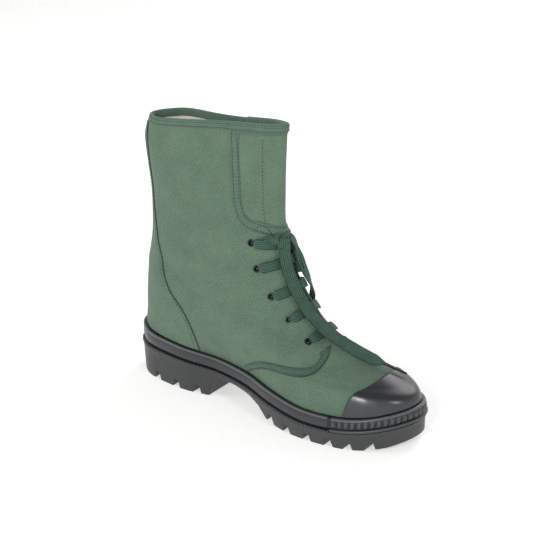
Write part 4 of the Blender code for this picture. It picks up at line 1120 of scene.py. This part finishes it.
# Rubber: band, toe bumper, outsole and insole
foxing = dict(start=247.0, columns=320, section=(
    # inset, share of the band's height, painted light: highlight on the lip over 0, shade in the groove under
    # 0
    (4.6, 0.0, -0.2), (3.6, 0.04, -0.2), (3.3, 0.1, -0.2), (2.7, 0.14, -0.1), (2.1, 0.17, 0.0),
    (1.75, 0.25, 0.1), (1.6, 0.42, 0.1), (1.65, 0.58, 0.05), (1.9, 0.72, 0.0), (2.1, 0.79, -0.1),
    (2.0, 0.83, 0.0), (1.75, 0.87, 0.6), (1.75, 0.92, 1.0), (2.1, 0.96, 1.0), (2.9, 0.985, 0.4),
    (4.6, 0.99, -0.2),
))
bumper = dict(ribPitch=6.0, ribDepth=1.7, ribSteps=9, ribFlat=1.15, ribFall=2.1, paintedShade=0.5,
              fine=600, section=(
    # inset, share, rib, painted light: highlight over 0, shade under 0
    (1.5, 0.0, 0.0, -0.2), (0.0, 0.02, 0.0, -0.2), (-1.1, 0.06, 0.0, 0.1), (-1.5, 0.13, 0.0, 0.2),
    (-1.2, 0.21, 0.0, 0.2), (-0.4, 0.27, 0.0, -0.1), (0.9, 0.30, 0.15, -0.2), (1.3, 0.34, 0.8, 0.1),
    (1.4, 0.42, 1.0, 0.3), (1.5, 0.58, 1.0, 0.3), (1.5, 0.70, 0.9, 0.2), (1.4, 0.765, 0.4, -0.1),
    (0.9, 0.80, 0.0, -0.1), (0.7, 0.85, 0.0, 0.4), (0.9, 0.91, 0.0, 1.0), (1.7, 0.96, 0.0, 1.0),
    (2.8, 0.99, 0.0, 0.3), (4.4, 1.0, 0.0, -0.2),
))
bandForm = dict(upperGap=0.2, endDarkening=-0.22, sharp=55)


def jointAngle(x):
    return math.acos(1 - 2 * (x - sole["back"]) / sole["length"])


def bandPiece(name, node, angles, loop, paintedLight):
    # the loop runs round the outside and closes against the upper
    inner = [liftedPoint(level, angles, bandForm["upperGap"]) for level in (bandLevel, 0.0)]
    loops = np.stack(loop + inner, 1)
    marks = np.zeros(loops.shape)
    # painted highlight and shade from the section's last column; both ends of the piece, where band and
    # bumper meet, are darker
    marks[:, :len(loop), 2] = paintedLight
    marks[:2, :, 2] = marks[-2:, :, 2] = bandForm["endDarkening"]
    piece = sweepPiece(name, loops, [bandRubber], weave=marks, sharp=bandForm["sharp"])
    finishPiece(piece, "band_rubber", node)


def makeFoxing():
    end = jointAngle(foxing["start"] - gap / 2)
    angles = np.linspace(-end, end, foxing["columns"])
    loop = [solePoint(angles, inset, share) for inset, share, _ in foxing["section"]]
    bandPiece("rubberBand", "foxing", angles, loop, [paintedLight for *_, paintedLight in foxing["section"]])


def makeBumper():
    start = jointAngle(foxing["start"] + gap / 2)
    fine = np.linspace(start, 2 * math.pi - start, bumper["fine"])
    length = runLength(soleEdge(fine))
    ribs = round(length[-1] / bumper["ribPitch"])
    where = np.linspace(0, length[-1], ribs * bumper["ribSteps"] + 1)
    angles = np.interp(where, length, fine)
    fromMiddle = np.abs((where / length[-1] * ribs) % 1 - 0.5)
    proud = smooth(bumper["ribFlat"] - bumper["ribFall"] * fromMiddle)
    loop, paintedLights = [], []
    for inset, share, rib, paintedLight in bumper["section"]:
        loop.append(solePoint(angles, inset - bumper["ribDepth"] * rib * proud, share))
        # painted shade in the gaps between the ribs
        paintedLights.append(paintedLight - bumper["paintedShade"] * rib * (1 - proud))
    bandPiece("rubberBumper", "toe_bumper", angles, loop, np.stack(paintedLights, 1))


outsole = dict(columns=260, sideReach=90.0, underDepth=15.0, edgeRound=0.7, edgeSegments=2,
               edgeAngle=38, sharp=50)
lugNotch = dict(places=(32.0, 58.0, 82.5, 178.0, 199.0, 222.0, 244.0, 262.0, 281.0), width=9.0, crown=5.0,
                depth=8.0, reach=18.0)
underside = np.array((
    # x, z
    (-16.0, 14.0), (-3.0, 5.0), (5.0, 0.0), (95.0, 0.0), (105.0, 21.5), (128.0, 21.5), (148.0, 18.5),
    (162.0, 13.5), (172.0, 4.0), (186.0, 1.2), (198.0, 0.0), (262.0, 0.0), (278.0, 2.0), (294.0, 5.5),
    (320.0, 15.0),
))
soleTaper = np.array(((-6.0, 2.2), (110.0, 2.2), (170.0, 4.5), (250.0, 4.5), (311.0, 0.8)))  # x, inset
soleWall = (
    # counted from the floor, height, inset, share of the taper
    (True, -3.0, 0.0, 1.0), (False, -6.5, 0.6, 0.25), (False, -3.6, 0.62, 0.06), (False, -2.5, 0.5, 0.0),
    (False, -2.0, 0.2, 0.0), (False, -1.4, 0.0, 0.0), (False, -0.7, 0.1, 0.0), (False, -0.2, 0.45, 0.0),
    (False, 0.0, 0.9, 0.0),
)


def plate(name, rings, finish):
    # stacked rings, closed at both ends by strips from side to side
    count = len(rings[0])
    index = np.arange(len(rings) * count).reshape(len(rings), count)
    here, above = index[:-1], index[1:]
    faces = np.stack((here, np.roll(here, -1, 1), np.roll(above, -1, 1), above), -1).reshape(-1, 4).tolist()
    half = count // 2
    for ring in (index[0], index[-1]):
        faces.append([ring[0], ring[1], ring[count - 1]])
        faces += [[ring[j], ring[j + 1], ring[count - j - 1], ring[count - j]] for j in range(1, half - 1)]
        faces.append([ring[half - 1], ring[half], ring[half + 1]])
    return meshPiece(name, np.concatenate(rings), faces, [finish])


def prisms(name, profiles):
    points, faces = [], []
    for outline, near, far in profiles:
        first, count = len(points), len(outline)
        points += [(x, near, z) for x, z in outline] + [(x, far, z) for x, z in outline]
        faces += [range(first, first + count), range(first + count, first + 2 * count)]
        for j in range(count):
            k = (j + 1) % count
            faces.append((first + j, first + k, first + count + k, first + count + j))
    return meshPiece(name, points, faces, [soleRubber])


def applied(piece):
    # keeps the evaluated result as a plain mesh, modifiers gone
    result = piece.evaluated_get(bpy.context.evaluated_depsgraph_get())
    mesh = bpy.data.meshes.new_from_object(result)
    piece.modifiers.clear()
    piece.data = mesh


def notchProfiles():
    # each notch widens downwards and is cut in from both sides
    profiles = []
    crown = lugNotch["crown"] / 2
    foot = lugNotch["width"] - crown
    for x in lugNotch["places"]:
        floor = np.interp(x, underside[:, 0], underside[:, 1])
        low, high = floor - lugNotch["depth"], floor + lugNotch["depth"]
        outline = [(x - foot, low), (x + foot, low), (x + crown, high), (x - crown, high)]
        lateral = np.interp(x, soleOutline[:, 0], soleOutline[:, 1]) - lugNotch["reach"]
        medial = np.interp(x, soleOutline[:, 0], soleOutline[:, 2]) - lugNotch["reach"]
        profiles += [(outline, -outsole["sideReach"], -lateral), (outline, medial, outsole["sideReach"])]
    return profiles


def makeOutsole():
    angles = np.arange(outsole["columns"]) * 2 * math.pi / outsole["columns"]
    taper = curveThrough(soleTaper[:, 0], soleTaper[:, 1], soleEdge(angles)[:, 0])
    rings = []
    for fromFloor, height, inset, share in soleWall:
        flat = soleRing(angles, inset + share * taper)
        z = np.full(len(flat), height) if fromFloor else seatHeight(flat[:, 0]) + height
        rings.append(raised(flat, z))
    piece = plate("rubberOutsole", rings, soleRubber)
    reach = outsole["sideReach"]
    ends = [(underside[k, 0], -outsole["underDepth"]) for k in (-1, 0)]
    cutters = [prisms("undersideCutter", [(underside.tolist() + ends, -reach, reach)])]
    cutters.append(prisms("notchCutter", notchProfiles()))
    for cutter in cutters:
        step = piece.modifiers.new(cutter.name, "BOOLEAN")
        step.operation, step.solver, step.object = "DIFFERENCE", "EXACT", cutter
    applied(piece)
    for cutter in cutters:
        bpy.data.objects.remove(cutter, do_unlink=True)
    step = piece.modifiers.new("softEdges", "BEVEL")
    step.width, step.segments, step.limit_method = outsole["edgeRound"] * mm, outsole["edgeSegments"], "ANGLE"
    step.angle_limit = math.radians(outsole["edgeAngle"])
    applied(piece)
    softShaded(piece.data, outsole["sharp"])
    finishPiece(piece, "sole_rubber", "outsole")


insoleSet = dict(columns=160, inset=9.6, wall=(
    # further inset, height
    (0.3, 0.0), (0.0, 0.5), (0.0, 2.3), (0.4, 2.85), (1.4, 3.0),
))


def makeInsole():
    angles = np.arange(insoleSet["columns"]) * 2 * math.pi / insoleSet["columns"]
    rings = []
    for inset, lift in insoleSet["wall"]:
        flat = soleRing(angles, insoleSet["inset"] + inset)
        rings.append(raised(flat, seatHeight(flat[:, 0]) + gap + lift))
    piece = plate("clothInsole", rings, liningCream)
    places = np.zeros(len(piece.data.vertices) * 3, np.float32)
    piece.data.vertices.foreach_get("co", places)
    addVectors(piece.data, "weave", places.reshape(-1, 3) / mm * (1, 1, 0))
    finishPiece(piece, "insole_cloth", "insole")


makeFoxing()
makeBumper()
makeOutsole()
makeInsole()
print("rubber moulded")


# Geometry node trees: each gets numbers and a finish by name and ends in real, finished meshes
def newTree(name, *labels):
    tree = bpy.data.node_groups.new(name, "GeometryNodeTree")
    kinds = [("Geometry", "NodeSocketGeometry")] + [(label, "NodeSocketFloat") for label in labels]
    for label, kind in kinds + [("Finish", "NodeSocketMaterial")]:
        tree.interface.new_socket(label, in_out="INPUT", socket_type=kind)
    tree.interface.new_socket("Geometry", in_out="OUTPUT", socket_type="NodeSocketGeometry")
    return tree, addNode(tree, "NodeGroupInput").outputs


def firstOf(tree, kind, links=None, **settings):
    return addNode(tree, kind, links, **settings).outputs[0]


def closeTree(tree, links, finish):
    placed = firstOf(tree, "GeometryNodeInstanceOnPoints", links)
    real = firstOf(tree, "GeometryNodeRealizeInstances", {0: placed})
    done = firstOf(tree, "GeometryNodeSetMaterial", {"Geometry": real, "Material": finish})
    addNode(tree, "NodeGroupOutput", {0: done})


def grown(name, points, edges, ups, tree, values):
    # runs a tree over marked points and keeps its result as a plain mesh
    mesh = bpy.data.meshes.new(name)
    mesh.from_pydata(toFrame(points).tolist(), edges, [])
    addVectors(mesh, "up", ups)
    piece = newObject(name, mesh)
    step = piece.modifiers.new(name, "NODES")
    step.node_group = tree
    sockets = {item.name: item.identifier for item in tree.interface.items_tree if item.in_out == "INPUT"}
    for label, value in values.items():
        step[sockets[label]] = value
    applied(piece)
    piece.data.shade_smooth()
    return piece


def upOf(tree):
    return firstOf(tree, "GeometryNodeInputNamedAttribute", {"Name": "up"}, data_type="FLOAT_VECTOR")


def beadTree(name):
    # small rounded beads along lines: stitches, moulded marks
    tree, given = newTree(name, "Pitch", "Length", "Width", "Height")
    lines = firstOf(tree, "GeometryNodeMeshToCurve", {0: given["Geometry"]})
    spaced = firstOf(tree, "GeometryNodeResampleCurve", {"Curve": lines, "Length": given["Pitch"]},
                     mode="LENGTH")
    bead = firstOf(tree, "GeometryNodeMeshUVSphere", {"Segments": 6, "Rings": 4, "Radius": 0.5})
    size = firstOf(tree, "ShaderNodeCombineXYZ", {0: given["Length"], 1: given["Width"], 2: given["Height"]})
    tangent = firstOf(tree, "GeometryNodeInputTangent")
    along = firstOf(tree, "FunctionNodeAlignRotationToVector", {"Vector": tangent}, axis="X")
    spin = firstOf(tree, "FunctionNodeAlignRotationToVector", {"Rotation": along, "Vector": upOf(tree)},
                   axis="Z", pivot_axis="X")
    closeTree(tree, {"Points": spaced, "Instance": bead, "Rotation": spin, "Scale": size}, given["Finish"])
    return tree


beads = beadTree("beadsAlongLines")


def layBeads(name, rows, settings, finish, slotName):
    # each row is a line of points with their outward directions
    edges, first = [], 0
    for line, _ in rows:
        edges += [(first + k, first + k + 1) for k in range(len(line) - 1)]
        first += len(line)
    points, ups = [np.concatenate(column) for column in zip(*rows)]
    values = {label: settings[label.lower()] * mm for label in ("Pitch", "Length", "Width", "Height")}
    piece = grown(name, points, edges, ups, beads, {**values, "Finish": finish})
    finishPiece(piece, slotName)


stitch = dict(pitch=3.2, length=2.0, width=0.95, height=0.55)


def sewStitches():
    layBeads("stitches", stitchRows, stitch, threadGreen, "tape")


grooveMarks = dict(pitch=2.8, length=1.7, width=1.5, height=0.8, inset=0.95, share=-0.01,
                   endGap=2.0, points=400)


def mouldGrooveMarks():
    end = jointAngle(foxing["start"] - grooveMarks["endGap"])
    angles = np.linspace(-end, end, grooveMarks["points"])
    points = solePoint(angles, grooveMarks["inset"], grooveMarks["share"])
    ups = np.zeros(points.shape) + (0.0, 0.0, 1.0)
    layBeads("bandMarks", [(points, ups)], grooveMarks, paintedHighlightRubber, "band_rubber")


eyelet = dict(ring=2.75, tube=0.8, barrel=2.2, depth=2.6, flat=0.6, lift=0.35, wall=0.3,
              sides=28, tubeSides=12)


def eyeletTree():
    # a rolled rim over a short barrel, closed at mid-depth by a black disc: painted shade for the inside of
    # the hole
    tree, given = newTree("rolledEyelets", "Ring", "Tube", "Flat", "Barrel", "Depth")
    sides, thin = eyelet["sides"], eyelet["wall"] * mm

    def circle(radius, count):
        links = {"Resolution": count, "Radius": given[radius]}
        return firstOf(tree, "GeometryNodeCurvePrimitiveCircle", links)

    def swept(line, profile):
        return firstOf(tree, "GeometryNodeCurveToMesh", {"Curve": line, "Profile Curve": profile})

    squash = firstOf(tree, "ShaderNodeCombineXYZ", {0: 1.0, 1: 1.0, 2: given["Flat"]})
    rolled = swept(circle("Ring", sides), circle("Tube", eyelet["tubeSides"]))
    rolled = firstOf(tree, "GeometryNodeTransform", {"Geometry": rolled, "Scale": squash})
    size = {"Width": thin, "Height": given["Depth"]}
    strip = firstOf(tree, "GeometryNodeCurvePrimitiveQuadrilateral", size)
    barrel = swept(circle("Barrel", sides), strip)
    holeShadeDisc = {"Vertices": sides, "Radius": given["Barrel"], "Depth": thin}
    floor = addNode(tree, "GeometryNodeMeshCylinder", holeShadeDisc).outputs["Mesh"]
    whole = addNode(tree, "GeometryNodeJoinGeometry")
    for part in (rolled, barrel, floor):
        tree.links.new(part, whole.inputs[0])
    spin = firstOf(tree, "FunctionNodeAlignRotationToVector", {"Vector": upOf(tree)}, axis="Z")
    links = {"Points": given["Geometry"], "Instance": whole.outputs[0], "Rotation": spin}
    closeTree(tree, links, given["Finish"])
    return tree


def setEyelets():
    tree = eyeletTree()
    values = {label: eyelet[label.lower()] * mm for label in ("Ring", "Tube", "Barrel", "Depth")}
    values = {**values, "Flat": eyelet["flat"], "Finish": eyeletBlack}
    for word, side in (("lateral", 1.0), ("medial", -1.0)):
        level, angle = locate(eyelets, side)
        points = skin(level, angle, eyelet["lift"])
        piece = grown("eyelets_" + word, points, [], lastNormal(level, angle), tree, values)
        finishPiece(piece, "eyelet_metal", *[f"eyelet_{word}_{n}" for n in range(1, len(eyelets) + 1)])


sewStitches()
mouldGrooveMarks()
setEyelets()
print("stitches and eyelets set")

# Studio: pale floor, soft light all round, four round soft lamps about the boot
studio = dict(floor=6.0, floorColour="#FAFAF8", floorGlow=0.4, floorRough=0.9)
sky = (
    # height of the direction, brightness: a bright wall all round under a dark ceiling
    (0.0, 1.2), (0.4, 0.85), (0.7, 0.2), (1.0, 0.08),
)
lamps = (
    # name, place in metres, aim, size, watts
    ("frontSoftbox", (0.6, -2.0, 1.15), (0.0, 0.0, 0.12), 0.6, 20.0),
    ("leftSoftbox", (-1.6, -1.5, 1.6), (0.0, 0.0, 0.12), 1.0, 9.0),
    ("rightSoftbox", (1.9, -0.7, 1.45), (0.05, 0.0, 0.08), 0.4, 8.0),
    ("backSoftbox", (0.1, 1.7, 1.5), (0.1, 0.0, 0.06), 1.3, 15.0),
)


def makeStudio():
    half = studio["floor"]
    mesh = bpy.data.meshes.new("studioFloor")
    corners = [(-half, -half, 0), (half, -half, 0), (half, half, 0), (-half, half, 0)]
    mesh.from_pydata(corners, [], [(0, 1, 2, 3)])
    floor = newObject("studioFloor", mesh)
    paper, _, shader = newFinish("matPaper", studio["floorRough"])
    shader.inputs["Base Color"].default_value = linear(studio["floorColour"])
    shader.inputs["Emission Color"].default_value = linear(studio["floorColour"])
    shader.inputs["Emission Strength"].default_value = studio["floorGlow"]
    mesh.materials.append(paper)
    world = bpy.data.worlds.new("studioLight")
    world.use_nodes = True
    tree = world.node_tree
    ways = addNode(tree, "ShaderNodeTexCoord").outputs["Generated"]
    ramp = addNode(tree, "ShaderNodeValToRGB", {0: thirdOf(tree, ways)})
    while len(ramp.color_ramp.elements) < len(sky):
        ramp.color_ramp.elements.new(0.5)
    for stop, (place, bright) in zip(ramp.color_ramp.elements, sky):
        stop.position = place
        stop.color = (bright, bright, bright, 1.0)
    tree.links.new(ramp.outputs[0], tree.nodes["Background"].inputs["Color"])
    bpy.context.scene.world = world
    for name, place, aim, size, watts in lamps:
        data = bpy.data.lights.new(name, "AREA")
        data.shape, data.size, data.energy = "DISK", size, watts
        back = unit(np.subtract(place, aim))
        right = unit(np.cross((0.0, 0.0, 1.0), back))
        newObject(name, data).matrix_world = placedAt(right, np.cross(back, right), back, place)
    bpy.context.scene.view_settings.view_transform = "Standard"


makeStudio()
print("scene ready")
